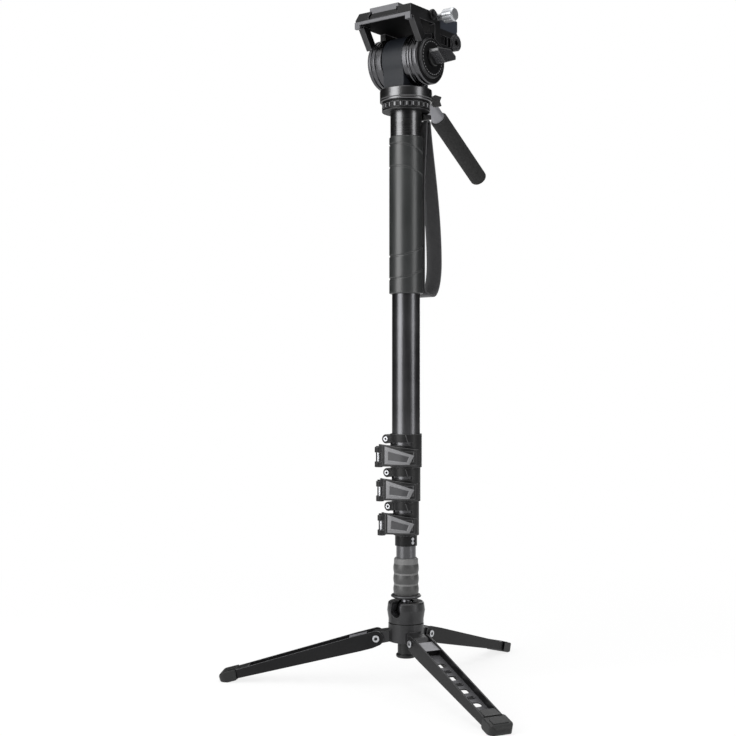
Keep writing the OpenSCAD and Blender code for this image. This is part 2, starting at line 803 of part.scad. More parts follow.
module tube_1() { section_tube(1); }
module tube_2() { section_tube(2); }
module tube_3() { section_tube(3); }
module tube_4() { section_tube(4); }
module tube_2_guide() { tube_guide(2); }
module tube_3_guide() { tube_guide(3); }
module tube_4_guide() { tube_guide(4); }

// The two set screws of the stop collar, with a given radius and reach
module at_stop_screws(r, from, to) {
    for (share = [0.36, 0.72])
        rotate(set_screw_az) rod_x(r, from, to, 0, stop_z + share * stop_h);
}

module stop_collar() {
    color(black) difference() {
        ring(tube_r[4] + stop_wall, tube_r[4] + seat_gap, stop_z, stop_top);
        at_stop_screws(set_screw_d / 2 + seat_gap, 0, tube_r[4] + stop_wall + past);
    }
}

module stop_screws() {
    color(silver) difference() {
        at_stop_screws(set_screw_d / 2, tube_r[4] + 0.1, tube_r[4] + stop_wall + 0.5);
        at_stop_screws(set_screw_d / 4, tube_r[4] + stop_wall - 0.3, tube_r[4] + stop_wall + past);
    }
}

// Locks, in a frame whose X points along the hinge ears and whose +Y side holds the lever

module on_lock(n) {
    translate([0, 0, lock_z[n]]) rotate(lock_az) children();
}

function collar_r(n) = tube_r[n] + collar_wall;
function hinge_x(n) = collar_r(n) + hinge_out;
cam_z = 0.6;
bolt_z = cam_z + cam_h / 2;
pinch_az = -35;
pad_end_az = 118;

// Places its children at a pinch boss, Z along the screw towards its head
module on_pinch(n) {
    rotate(pinch_az) translate([collar_r(n) + pinch_r + 0.4, 0, pinch_z]) rotate([-90, 0, 0]) children();
}

module lock_collar(n) {
    outer = collar_r(n);
    ear_x = hinge_x(n) + 3;
    color(charcoal) on_lock(n) difference() {
        union() {
            cylinder(r = outer, h = lock_h);
            translate([0, -rear_ear - split_w / 2, cam_z])
                cube([ear_x, rear_ear + split_w + front_ear, cam_h]);
            on_pinch(n) cylinder(r = pinch_r, h = pinch_l, center = true);
            rotate(pinch_az) translate([tube_r[n] + 1, -pinch_l / 2, pinch_z - pinch_r + 0.6])
                cube([collar_wall + pinch_r - 0.6, pinch_l, 2 * pinch_r - 1.2]);
        }
        translate([0, 0, -past]) cylinder(r = tube_r[n + 1] + run_gap, h = lock_h);
        translate([0, 0, clamp_h]) cylinder(r = tube_r[n] + seat_gap, h = lock_h);
        translate([0, -split_w / 2, -past]) cube([ear_x + past, split_w, clamp_h + past]);
        translate([hinge_x(n), 0, bolt_z]) rotate([90, 0, 0])
            cylinder(d = shank_d + 0.6, h = 4 * rear_ear, center = true);
        rotate(pinch_az) translate([tube_r[n], -0.7, clamp_h + 5])
            cube([outer, 1.4, lock_h]);
        on_pinch(n) cylinder(d = pinch_head_d / 2 + 2 * seat_gap, h = pinch_l + 2 * past, center = true);
        on_pinch(n) translate([0, 0, pinch_l / 2 - 1.2]) cylinder(d = pinch_head_d + 0.4, h = 2);
        intersection() {
            translate([0, 0, clamp_h + 2]) ring(outer + past, tube_r[n] + seat_gap, 0, 3);
            translate([-6, 0, 0]) cube([outer + 8, outer + past, lock_h]);
        }
    }
}

module lock_bolt(n) {
    color(steel) on_lock(n) union() {
        translate([hinge_x(n), hinge_side, bolt_z]) cylinder(d = barrel_d, h = cam_h - 2, center = true);
        translate([hinge_x(n), hinge_side, bolt_z]) rotate([90, 0, 0])
            cylinder(d = shank_d, h = hinge_side + split_w / 2 + rear_ear + 3);
        translate([hinge_x(n), -split_w / 2 - rear_ear, bolt_z]) rotate([90, 0, 0])
            cylinder(d = 2 * shank_d, h = 2.6, $fn = 6);
    }
}

module lock_screw(n) {
    color(silver) on_lock(n) on_pinch(n) difference() {
        union() {
            translate([0, 0, -pinch_l / 2]) cylinder(d = pinch_head_d / 2, h = pinch_l - 1.2);
            translate([0, 0, pinch_l / 2 - 1.2]) cylinder(d = pinch_head_d, h = 2);
        }
        translate([0, 0, pinch_l / 2]) cylinder(d = pinch_head_d / 2, h = 2, $fn = 6);
    }
}

// Angle at which a line from a point touches a circle about the column's axis
function touch(point, r) = atan2(point[1], point[0]) + acos(r / norm(point));

// Plan of a curved strip round the collar and its flat run from the hinge, as far as a given azimuth
module wrap_plan(n, start, inner, outer, end_az) {
    from = touch(start, outer);
    intersection() {
        difference() {
            circle(r = outer);
            circle(r = inner);
        }
        polygon([
            [0, 0], [60 * cos(from - 4), 60 * sin(from - 4)], [60, 60], [-60, 60],
            [60 * cos(end_az), 60 * sin(end_az)]
        ]);
    }
    difference() {
        polygon([
            [start[0], start[1] - 4.6], start, [outer * cos(from), outer * sin(from)],
            [(inner + 0.2) * cos(from), (inner + 0.2) * sin(from)], [inner * cos(26) + 2, inner * sin(26)]
        ]);
        circle(r = inner);
    }
}

module lock_lever(n) {
    x = hinge_x(n);
    slope = atan2(lever_slope, x + collar_r(n));
    inner = collar_r(n) + face_gap;
    outer = inner + lever_t;
    color(charcoal) on_lock(n) difference() {
        union() {
            translate([x, hinge_side, cam_z]) cylinder(r = cam_r, h = cam_h);
            translate([0, 0, 2]) linear_extrude(lever_h)
                wrap_plan(n, [x, hinge_side + cam_r], inner, outer, lever_end_az);
            translate([0, 0, 3.6]) linear_extrude(lever_h - 3.2)
                wrap_plan(n, [x - 4, hinge_side + cam_r + 1.4], inner + 1, outer + pad_t, pad_end_az);
        }
        translate([x + 10, -past, lever_h + 2]) rotate([0, -slope, 0]) mirror([1, 0, 0])
            translate([-past, 0, 0]) cube([4 * x, 2 * x, lever_h]);
        translate([x, hinge_side, -past]) cylinder(d = barrel_d + 2 * run_gap, h = cam_h + 4);
        translate([x, hinge_side, bolt_z]) intersection() {
            cylinder(r = cam_r + 6, h = cam_slot, center = true);
            translate([-shank_d / 2 - 0.5, -30, -cam_slot]) cube([30, 60, 2 * cam_slot]);
        }
        translate([0, 0, 7]) linear_extrude(lever_h - 14) intersection() {
            difference() {
                circle(r = outer + pad_t + past);
                circle(r = outer + pad_t - panel_depth);
            }
            polygon([[0, 0], [60, 66], [-20, 60], [60 * cos(pad_end_az - 8), 60 * sin(pad_end_az - 8)]]);
        }
    }
}

module lock_1_collar() { lock_collar(1); }
module lock_2_collar() { lock_collar(2); }
module lock_3_collar() { lock_collar(3); }
module lock_1_bolt() { lock_bolt(1); }
module lock_2_bolt() { lock_bolt(2); }
module lock_3_bolt() { lock_bolt(3); }
module lock_1_screw() { lock_screw(1); }
module lock_2_screw() { lock_screw(2); }
module lock_3_screw() { lock_screw(3); }
module lock_1_lever() { lock_lever(1); }
module lock_2_lever() { lock_lever(2); }
module lock_3_lever() { lock_lever(3); }

// Grip, top cap and strap

module grip_sleeve() {
    outer = grip_d / 2;
    color(rubber_black) difference() {
        ring(outer, tube_r[1] + seat_gap, grip_z, grip_top);
        for (at = groove_at)
            ring(outer + past, outer - groove_depth, grip_z + at - groove_h / 2, grip_z + at + groove_h / 2);
    }
}

strap_bar_height = grip_top + strap_bar_z;
strap_turn_r = strap_bar_d / 2 + 0.3 + strap_t / 2;
strap_in_r = grip_d / 2 + strap_grip_gap + strap_t / 2;
strap_fold_r = (strap_out_r - strap_in_r) / 2;
strap_fold_z = strap_bar_height - strap_drop + strap_fold_r + strap_t / 2;

module top_cap() {
    color(charcoal) difference() {
        union() {
            translate([0, 0, grip_top]) cylinder(d = cap_d, h = cap_h);
            rotate(strap_az) translate([0, 0, strap_bar_height]) union() {
                translate([10, -4, -1.4]) cube([strap_bar_r - 10, 8, 2.8]);
                translate([strap_bar_r, 0, 0]) rotate([90, 0, 0])
                    cylinder(d = strap_bar_d, h = strap_w - 2.4, center = true);
            }
        }
        translate([0, 0, grip_top - past]) cylinder(r = tube_r[1] + seat_gap, h = tube_1_top - grip_top + past);
        translate([0, 0, grip_top]) cylinder(d = stud_d + 2 * seat_gap, h = cap_h + past);
    }
}

module head_stud() {
    color(steel) union() {
        translate([0, 0, tube_1_top]) cylinder(d = stud_d, h = cap_top_z + stud_up - tube_1_top);
        translate([0, 0, tube_1_top - 3]) cylinder(r = tube_r[1] - tube_wall - face_gap, h = 3);
    }
}

// Points of the strap's centre line in its own plane, as [distance from the column, height]
function bezier(a, b, c, d, t) =
    pow(1 - t, 3) * a + 3 * pow(1 - t, 2) * t * b + 3 * (1 - t) * t * t * c + pow(t, 3) * d;
strap_line = concat(
    [for (k = [0 : 8]) let (a = 180 - k * 22.5)
        [strap_bar_r + strap_turn_r * cos(a), strap_bar_height + strap_turn_r * sin(a)]],
    [for (k = [1 : 10]) bezier(
        [strap_bar_r + strap_turn_r, strap_bar_height], [strap_bar_r + strap_turn_r + 2, strap_bar_height - 28],
        [strap_out_r, strap_fold_z + 72], [strap_out_r, strap_fold_z], k / 10)],
    [for (k = [1 : 12]) let (a = -k * 15)
        [strap_in_r + strap_fold_r * (1 + cos(a)), strap_fold_z + strap_fold_r * sin(a)]],
    [[strap_in_r, grip_top - 22]]
);
strap_points = len(strap_line);
function strap_way(i) =
    let (d = strap_line[(i + 1) % strap_points] - strap_line[(i + strap_points - 1) % strap_points])
    d / norm(d);
function strap_edge(out) = [
    for (i = [0 : strap_points - 1]) strap_line[i] + out * [-strap_way(i)[1], strap_way(i)[0]]
];

module wrist_strap() {
    color(black) rotate(strap_az) difference() {
        plate_y(strap_w) difference() {
            polygon(strap_edge(strap_t / 2));
            polygon(strap_edge(-strap_t / 2));
        }
        translate([0, -4.6, strap_bar_height - 3.4]) cube([strap_bar_r + 0.8, 9.2, 10]);
    }
}

// Head

module index_ring() {
    outer = index_d / 2;
    color(black) difference() {
        union() {
            translate([0, 0, index_z]) cylinder(r = outer, h = index_h);
            translate([0, 0, index_z]) cylinder(d = pan_pivot_d, h = index_h + face_gap + pan_h - 4);
        }
        translate([0, 0, index_z - past]) cylinder(d = stud_d + 2 * seat_gap, h = stud_up + 0.6 + past);
        for (i = [0 : index_notches - 1]) rotate(i * 360 / index_notches)
            translate([outer - 0.9, -1.6, index_z + 2.4]) cube([3, 3.2, 5]);
    }
}

module pan_disc() {
    outer = pan_d / 2;
    color(black) difference() {
        turned([
            [pan_pivot_d / 2 + run_gap, pan_z], [outer - 0.8, pan_z], [outer, pan_z + 0.8],
            [outer, pan_z + 2.2], [outer - 0.7, pan_z + 2.8], [outer, pan_z + 3.4],
            [outer, pan_top - 1], [outer - 1, pan_top], [0, pan_top], [0, pan_top - 3.4],
            [pan_pivot_d / 2 + run_gap, pan_top - 3.4]
        ]);
        rotate(pan_knob_az) rod_x(pan_knob_d / 2 + run_gap, pan_pivot_d / 2 + 2, outer + past, 0, pan_knob_z);
    }
}

module head_body() {
    half = drum_w / 2;
    color(slate) difference() {
        union() {
            rod_x(drum_r, -half, half, 0, tilt_z);
            plate_x(-half, half) polygon([
                [-drum_r + 3, pan_top], [drum_r - 3, pan_top], [drum_r - 4.5, tilt_z - 14], [-drum_r + 4.5, tilt_z - 14]
            ]);
        }
        rod_x(tilt_shaft_d / 2 + seat_gap, -half - past, half + past, 0, tilt_z);
    }
}

module drag_rings() {
    color(black) for (side = [0, 1]) mirror([side, 0, 0]) translate([0, 0, tilt_z]) rotate([0, 90, 0]) turned([
        [tilt_shaft_d / 2 + seat_gap, drag_from], [drag_r - 0.8, drag_from], [drag_r, drag_from + 0.8],
        [drag_r, drag_to - 2.6], [drag_r - 1, drag_to - 2], [drag_r - 1, drag_to],
        [tilt_shaft_d / 2 + seat_gap, drag_to]
    ]);
}

module tilt_shaft() {
    color(steel) rod_x(tilt_shaft_d / 2, -side_hub_to + 3, end_face + 3, 0, tilt_z);
}

module pan_knob() {
    root = pan_d / 2 + face_gap;
    tip = root + 5 + pan_wing_l;
    half = pan_wing_h / 2;
    color(black) rotate(pan_knob_az) translate([0, 0, pan_knob_z]) union() {
        rod_x(pan_knob_d / 2, pan_pivot_d / 2 + 2.4, root + 1, 0, 0);
        rod_x(4.4, root, root + 6, 0, 0);
        plate_y(4.4) polygon([
            [root + 3, -3.5], [root + 7, -half], [tip, -half + 1.5], [tip - 2, 0],
            [tip, half - 1.5], [root + 7, half], [root + 3, 3.5]
        ]);
    }
}

module tilt_knob() {
    from = end_face + face_gap;
    to = end_face + tilt_knob_out;
    half = tilt_knob_h / 2;
    tip = tilt_knob_tip / 2;
    color(charcoal) translate([0, 0, tilt_z]) difference() {
        union() {
            rod_x(9, from, from + 4, 0, 0);
            plate_x(from + 2, to) polygon([
                [-tilt_knob_front, -half + 2], [-tilt_knob_front + 2, -half], [6, -half],
                [tilt_knob_rear, -tip], [tilt_knob_rear, tip], [6, half],
                [-tilt_knob_front + 2, half], [-tilt_knob_front, half - 2]
            ]);
        }
        rod_x(tilt_shaft_d / 2 + run_gap, from - past, end_face + 3.2, 0, 0);
    }
}

// Cradle

// Side outline of a cradle's frame: front arm, rear web and rosette
module frame_outline() {
    under = cradle_rise + 1;
    translate([0, tilt_z]) union() {
        polygon([
            [-cradle_front + 5, under], [-cradle_front + 15, under], [-16.5, 22], [-22, 13], [-cradle_front + 5, under - 3]
        ]);
        polygon([
            [2, under], [cradle_rear - 2, under], [rosette_y + rosette_r - 1, rosette_z + 4],
            [rosette_y, rosette_z - rosette_r], [24, 10], [2, 20]
        ]);
        translate([rosette_y, rosette_z]) circle(r = rosette_r);
    }
}

module cradle_side() {
    translate([0, 0, tilt_z]) rotate([0, 90, 0]) turned([
        [0, side_hub_from], [side_hub_r - 0.8, side_hub_from], [side_hub_r, side_hub_from + 0.8],
        [side_hub_r, side_hub_from + 3.4], [side_hub_r - 1.2, side_hub_from + 4.2],
        [side_hub_r - 1.2, side_hub_from + 5], [side_hub_r, side_hub_from + 5.8],
        [side_hub_r, side_hub_to - 1], [side_hub_r - 1, side_hub_to],
        [end_cap_r, side_hub_to], [end_cap_r, end_face - 1], [end_cap_r - 1, end_face], [0, end_face]
    ]);
    plate_x(frame_from, cradle_w / 2) frame_outline();
    rod_x(rosette_r, frame_from, rosette_face, rosette_y, tilt_z + rosette_z);
}

// Section of the fixed rail's lip, as [x, z] points, on the +X side
module rail_lip() {
    inner = plate_w / 2 - dovetail_in + 0.4;
    polygon([
        [channel_half, rail_z + 2.6], [inner, rail_z + 5], [inner, rail_top],
        [channel_half + past, rail_top], [channel_half + past, rail_z + 2.6]
    ]);
}

module cradle() {
    half = cradle_w / 2;
    depth = cradle_front + cradle_rear;
    jaw_room = jaw_l + 0.8;
    color(black) difference() {
        union() {
            for (side = [0, 1]) mirror([side, 0, 0]) cradle_side();
            translate([-half, -cradle_front, cradle_z]) cube([cradle_w, depth, cradle_floor]);
            for (side = [0, 1]) mirror([side, 0, 0])
                translate([channel_half, -cradle_front, rail_z - past])
                    cube([half - channel_half, depth, rail_h + past]);
            mirror([1, 0, 0]) translate([0, (cradle_rear - cradle_front) / 2, 0]) plate_y(depth) rail_lip();
        }
        translate([0, (cradle_rear - cradle_front) / 2, 0]) plate_y(depth + 2 * past) polygon([
            [-half - past, rail_z + 1], [-half, rail_z + 1], [-half + rail_chamfer, rail_top + 0.1],
            [-half + rail_chamfer, rail_top + past], [-half - past, rail_top + past]
        ]);
        rod_x(tilt_shaft_d / 2 + run_gap, -side_hub_to + 2.6, end_face + past, 0, tilt_z);
        for (side = [0, 1]) mirror([side, 0, 0])
            rod_x(rosette_hole_d / 2 + run_gap, frame_from - past, rosette_face + past, rosette_y, tilt_z + rosette_z);
        translate([channel_half - past, lock_knob_y - jaw_room / 2, rail_z])
            cube([jaw_back - channel_half + past + jaw_travel + 0.4, jaw_room, rail_h + past]);
        rod_x(lock_stem_d / 2 + run_gap, channel_half, half + past, lock_knob_y, lock_knob_z);
        rod_x(button_d / 2 + run_gap, half - 8, half + past, -button_y, button_z);
        for (side = [0, 1]) mirror([side, 0, 0]) for (run = frame_pockets)
            translate([half - pocket_depth, run[0], tilt_z + 17.5])
                cube([pocket_depth + past, run[1] - run[0], pocket_h]);
    }
}

module front_trim() {
    half = cradle_w / 2;
    color(silver) difference() {
        union() {
            translate([-half, -cradle_front - trim_t, cradle_z]) cube([cradle_w, trim_t, trim_h]);
            for (side = [0, 1]) mirror([side, 0, 0])
                translate([half - 6.5, -cradle_front - trim_t, cradle_z - 4]) cube([6.5, trim_t + 2.4, 4.2]);
        }
        translate([-half, -cradle_front, cradle_z]) cube([cradle_w, cradle_front, cradle_floor]);
    }
}

module clamp_jaw() {
    color(charcoal) translate([0, lock_knob_y, 0]) plate_y(jaw_l) polygon([
        [channel_half - 0.3, rail_z + 0.3], [jaw_back, rail_z + 0.3], [jaw_back, rail_top],
        [plate_w / 2 - dovetail_in + 0.1, rail_top], [plate_w / 2 - dovetail_in + 0.1, rail_z + 5],
        [channel_half - 0.3, rail_z + 2.6]
    ]);
}

module plate_knob() {
    neck = cradle_w / 2 + face_gap;
    from = cradle_w / 2 + lock_stem_out;
    to = from + lock_knob_l;
    wide = lock_knob_d / 2;
    color(silver) translate([0, lock_knob_y, lock_knob_z]) difference() {
        union() {
            rod_x(lock_stem_d / 2, jaw_back + jaw_travel + 0.1, neck + 1, 0, 0);
            rotate([0, 90, 0]) turned([
                [0, neck], [lock_neck_d / 2, neck], [lock_neck_d / 2, neck + 3], [wide - 1.6, from - 0.6],
                [wide - 0.8, from], [wide, to - 1.2], [wide - 1.2, to], [0, to]
            ]);
        }
        for (i = [0 : lock_flutes - 1]) rotate([i * 360 / lock_flutes, 0, 0])
            rod_x(0.9, from + 1, to - 1.6, 0, wide + 0.1);
    }
}

module safety_button() {
    half = cradle_w / 2;
    color(black) union() {
        rod_x(button_d / 2, half - 8 + button_travel + 0.4, half + button_travel + 3, -button_y, button_z);
    }
}

module camera_plate() {
    wide = plate_w / 2;
    narrow = wide - dovetail_in;
    slab = plate_z + dovetail_h;
    color(charcoal) difference() {
        translate([0, -1, 0]) plate_y(plate_l) union() {
            polygon([
                [-wide, plate_z], [wide, plate_z], [wide, plate_z + 2], [narrow, plate_z + 4.4], [narrow, slab],
                [-narrow, slab], [-narrow, plate_z + 4.4], [-wide, plate_z + 2]
            ]);
            translate([-wide, slab]) square([plate_w, plate_t]);
        }
        translate([0, 0, plate_z - past]) cylinder(d = camera_head_d + 0.6, h = 5.6 + past);
        translate([0, 0, plate_z]) cylinder(d = camera_screw_d + 2 * 0.15, h = dovetail_h + plate_t + past);
    }
}

module camera_screw() {
    color(steel) difference() {
        union() {
            translate([0, 0, plate_z + 0.6]) cylinder(d = camera_head_d, h = 4.6);
            translate([0, 0, plate_z + 1]) cylinder(d = camera_screw_d - 1.2, h = plate_top - plate_z);
            translate([0, 0, plate_top + 0.2]) cylinder(d = camera_screw_d, h = camera_screw_up - 0.2);
        }
        translate([-1, -camera_head_d, plate_z]) cube([2, 2 * camera_head_d, 2]);
    }
}

// Handle

// Places its children at the left rosette, Y along the handle
module on_handle() {
    translate([0, rosette_y, tilt_z + rosette_z]) rotate([-handle_slope, 0, 0]) children();
}

module handle_arm() {
    tube = handle_tube_d / 2;
    color(handle_grey) on_handle() difference() {
        union() {
            rod_x(rosette_r, -handle_eye_to, -handle_eye_from, 0, 0);
            translate([-handle_x, 0, handle_lift]) rotate([-90, 0, 0]) union() {
                cylinder(r = tube, h = handle_l - handle_grip_l);
                cylinder(d = handle_core_d, h = handle_l - 6);
            }
        }
        rod_x(rosette_hole_d / 2 + 0.2, -handle_eye_to - past, -handle_eye_from + past, 0, 0);
    }
}

module handle_grip() {
    outer = handle_grip_d / 2;
    start = handle_l - handle_grip_l;
    core = handle_core_d / 2 + seat_gap;
    color(rubber_black) on_handle() translate([-handle_x, 0, handle_lift]) rotate([-90, 0, 0]) turned(concat(
        [[core, start], [outer - 0.8, start], [outer, start + 0.8]],
        [for (k = [0 : 6]) [outer - 5 + 5 * cos(k * 15), handle_l - 5 + 5 * sin(k * 15)]],
        [[0, handle_l], [0, handle_l - 6 + seat_gap], [core, handle_l - 6 + seat_gap]]
    ));
}

module handle_knob() {
    from = handle_eye_to + face_gap;
    color(black) on_handle() mirror([1, 0, 0]) difference() {
        union() {
            rod_x(rosette_hole_d / 2, frame_from + 1, from + 1, 0, 0);
            rod_x(handle_knob_d / 2, from, from + handle_knob_l, 0, 0);
        }
        for (i = [0 : 7]) rotate([i * 45, 0, 0])
            rod_x(2.4, from - past, from + handle_knob_l + past, 0, handle_knob_d / 2 + 1);
    }
}

base_hub();
swivel_bush();
foot_stud();
centre_foot();
leg_pins();
rear_leg();
left_leg();
right_leg();
rear_boot();
left_boot();
right_boot();
ball_housing();
lower_ball_seat();
upper_ball_seat();
swivel_screw();
ball_stem();
tube_4();
stop_collar();
stop_screws();
tube_4_guide();
lock_sleeve();
sleeve_grip();
tube_3();
tube_3_guide();
lock_3_collar();
lock_3_bolt();
lock_3_screw();
lock_3_lever();
tube_2();
tube_2_guide();
lock_2_collar();
lock_2_bolt();
lock_2_screw();
lock_2_lever();
tube_1();
lock_1_collar();
lock_1_bolt();
lock_1_screw();
lock_1_lever();
grip_sleeve();
top_cap();
head_stud();
wrist_strap();
index_ring();
pan_disc();
head_body();
drag_rings();
tilt_shaft();
pan_knob();
tilt_knob();
cradle();
front_trim();
clamp_jaw();
plate_knob();
safety_button();
camera_plate();
camera_screw();
handle_arm();
handle_grip();
handle_knob();
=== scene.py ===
"""Looks of a video monopod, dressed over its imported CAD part.

Every piece rides on a CAD body and lies in the part's own frame, in metres: +Z up, the column's axis at the
origin, the head facing -Y. Sizes written in millimetres are turned to metres by MM. Angles are in degrees.
"""

import json
import math

import bmesh
import bpy
from bpy.props import FloatProperty, FloatVectorProperty, IntProperty, PointerProperty
from mathutils import Matrix, Vector

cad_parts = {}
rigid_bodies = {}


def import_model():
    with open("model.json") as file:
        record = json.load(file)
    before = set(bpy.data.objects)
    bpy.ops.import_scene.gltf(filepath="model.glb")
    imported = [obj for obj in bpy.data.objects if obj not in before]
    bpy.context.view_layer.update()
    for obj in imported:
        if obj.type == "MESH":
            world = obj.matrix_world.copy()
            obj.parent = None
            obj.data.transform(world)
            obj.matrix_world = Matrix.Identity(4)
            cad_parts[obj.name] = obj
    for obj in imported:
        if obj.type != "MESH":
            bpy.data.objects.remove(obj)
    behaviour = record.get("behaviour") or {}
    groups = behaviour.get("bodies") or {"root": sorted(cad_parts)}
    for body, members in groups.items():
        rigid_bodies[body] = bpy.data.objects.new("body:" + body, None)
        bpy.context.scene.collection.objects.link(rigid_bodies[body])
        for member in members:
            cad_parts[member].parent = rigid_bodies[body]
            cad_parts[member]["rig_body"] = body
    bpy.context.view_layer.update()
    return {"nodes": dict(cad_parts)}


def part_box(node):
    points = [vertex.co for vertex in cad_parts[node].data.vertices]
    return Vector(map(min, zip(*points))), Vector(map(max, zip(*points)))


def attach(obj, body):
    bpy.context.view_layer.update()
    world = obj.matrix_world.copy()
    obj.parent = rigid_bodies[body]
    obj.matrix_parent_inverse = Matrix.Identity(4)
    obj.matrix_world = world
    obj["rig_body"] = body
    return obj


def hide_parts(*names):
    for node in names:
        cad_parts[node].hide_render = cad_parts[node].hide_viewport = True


bl_info = {
    "name": "Video monopod looks",
    "version": (1, 0, 0),
    "blender": (4, 5, 0),
    "location": "View3D > Sidebar > Monopod",
    "description": "Dresses the monopod's CAD part with detailed pieces and finishes",
    "category": "Object",
}

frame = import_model()
NODES = frame["nodes"]
MM = 0.001

# Places that several pieces share, in mm, and turns about the column
CAMERA_TURN = 37.4
STRAP_TURN = 80
TILT_Z = 665.45
LEG_PIVOT = (31.5, 0, 50.3)
LEG_AZIMUTHS = {"rear": 90, "left": 212, "right": 332}


def linear(hex_code):
    """Linear RGBA of an sRGB hex colour."""
    shares = [int(hex_code[at:at + 2], 16) / 255 for at in (1, 3, 5)]
    return [s / 12.92 if s <= 0.04045 else ((s + 0.055) / 1.055) ** 2.4 for s in shares] + [1.0]


def colour(name, what, hex_code):
    """Colour property with an sRGB hex default."""
    return FloatVectorProperty(
        name=name, description=what, subtype="COLOR", size=4, min=0, max=1, default=linear(hex_code)
    )


def length(name, what, millimetres):
    """Length property with a default in millimetres."""
    return FloatProperty(
        name=name, description=what, subtype="DISTANCE", unit="LENGTH", precision=5, default=millimetres * MM
    )


class MonopodColours(bpy.types.PropertyGroup):
    """Colours of the monopod's finishes"""

    tube: colour("Tubes", "Black dye of the drawn tubes", "#545456")
    turned: colour("Turned parts", "Black dye of the turned head parts", "#606061")
    rings: colour("Drag rings", "Black dye of the rings turned about the tilt axis", "#505052")
    milled: colour("Milled parts", "Black dye of the cradle and the legs", "#0f0f10")
    coated: colour("Coated parts", "Powder coat of the hub and the sleeve", "#343435")
    slate: colour("Head body", "Blue-grey dye of the head's drum", "#14171c")
    # The handle's grey is also painted light on the legs' bridge tops.
    handle: colour("Handle", "Grey dye of the handle's tube", "#7c7c80")
    # This grey is painted light: a reflection on the plate and its trim, and the light on the legs' floors.
    plate: colour("Plate", "Darker grey dye of the plate, its trim and the legs' floors", "#58585b")
    silver: colour("Bright parts", "Clear anodised knob", "#b4b6b9")
    steel: colour("Steel", "Bright zinc of screws and pins", "#b9babd")
    nylon: colour("Locks", "Moulded nylon of collars and knobs", "#0d0d0e")
    pad: colour("Lever pads", "Lighter nylon of the levers' pads", "#6a6a6c")
    panel: colour("Lever panels", "Nylon of the sunk panels in the pads", "#343436")
    lever: colour("Tilt lock", "Charcoal nylon of the tilt lock's lever", "#28282a")
    rubber: colour("Rubber", "Rubber of the grip", "#1c1e1e")
    boot: colour("Boots", "Harder rubber of the boots and the foot", "#121313")
    ribbed: colour("Ribbed rubber", "Grey rubber of the lock sleeve", "#363636")
    # Painted highlight in the sleeve's valleys and on its top band.
    bands: colour("Sleeve bands", "Paler rubber in the sleeve's valleys", "#626262")
    foam: colour("Foam", "Foam of the handle's grip", "#202020")
    webbing: colour("Webbing", "Yarn of the wrist strap", "#4a4a4c")
    ink: colour("Marks", "Ink of the printed marks", "#858587")
    acetal: colour("Bushes", "Natural acetal of bushes and guides", "#dedbd0")
    floor: colour("Floor", "Floor and background", "#ffffff")


class MonopodSizes(bpy.types.PropertyGroup):
    """Sizes of the monopod's details"""

    edge: length("Edge", "Rounding of machined edges", 0.35)
    strap_width: length("Strap width", "Width of the webbing", 22)
    strap_thickness: length("Strap thickness", "Thickness of the webbing", 1.6)
    strap_lap: length("Strap lap", "Length of the webbing's sewn lap", 26)
    yarn: length("Yarn", "Spacing of the webbing's yarns", 1.6)
    groove_width: length("Groove width", "Width of the grip's curved grooves", 2.2)
    groove_depth: length("Groove depth", "Depth of the grip's curved grooves", 0.7)
    teeth: IntProperty(name="Rosette teeth", description="Teeth round a rosette", default=36, min=12)
    rosette_tooth: length("Tooth height", "Height of the rosettes' teeth", 0.45)


def colours():
    return bpy.context.scene.monopod_colours


def sizes():
    return bpy.context.scene.monopod_sizes


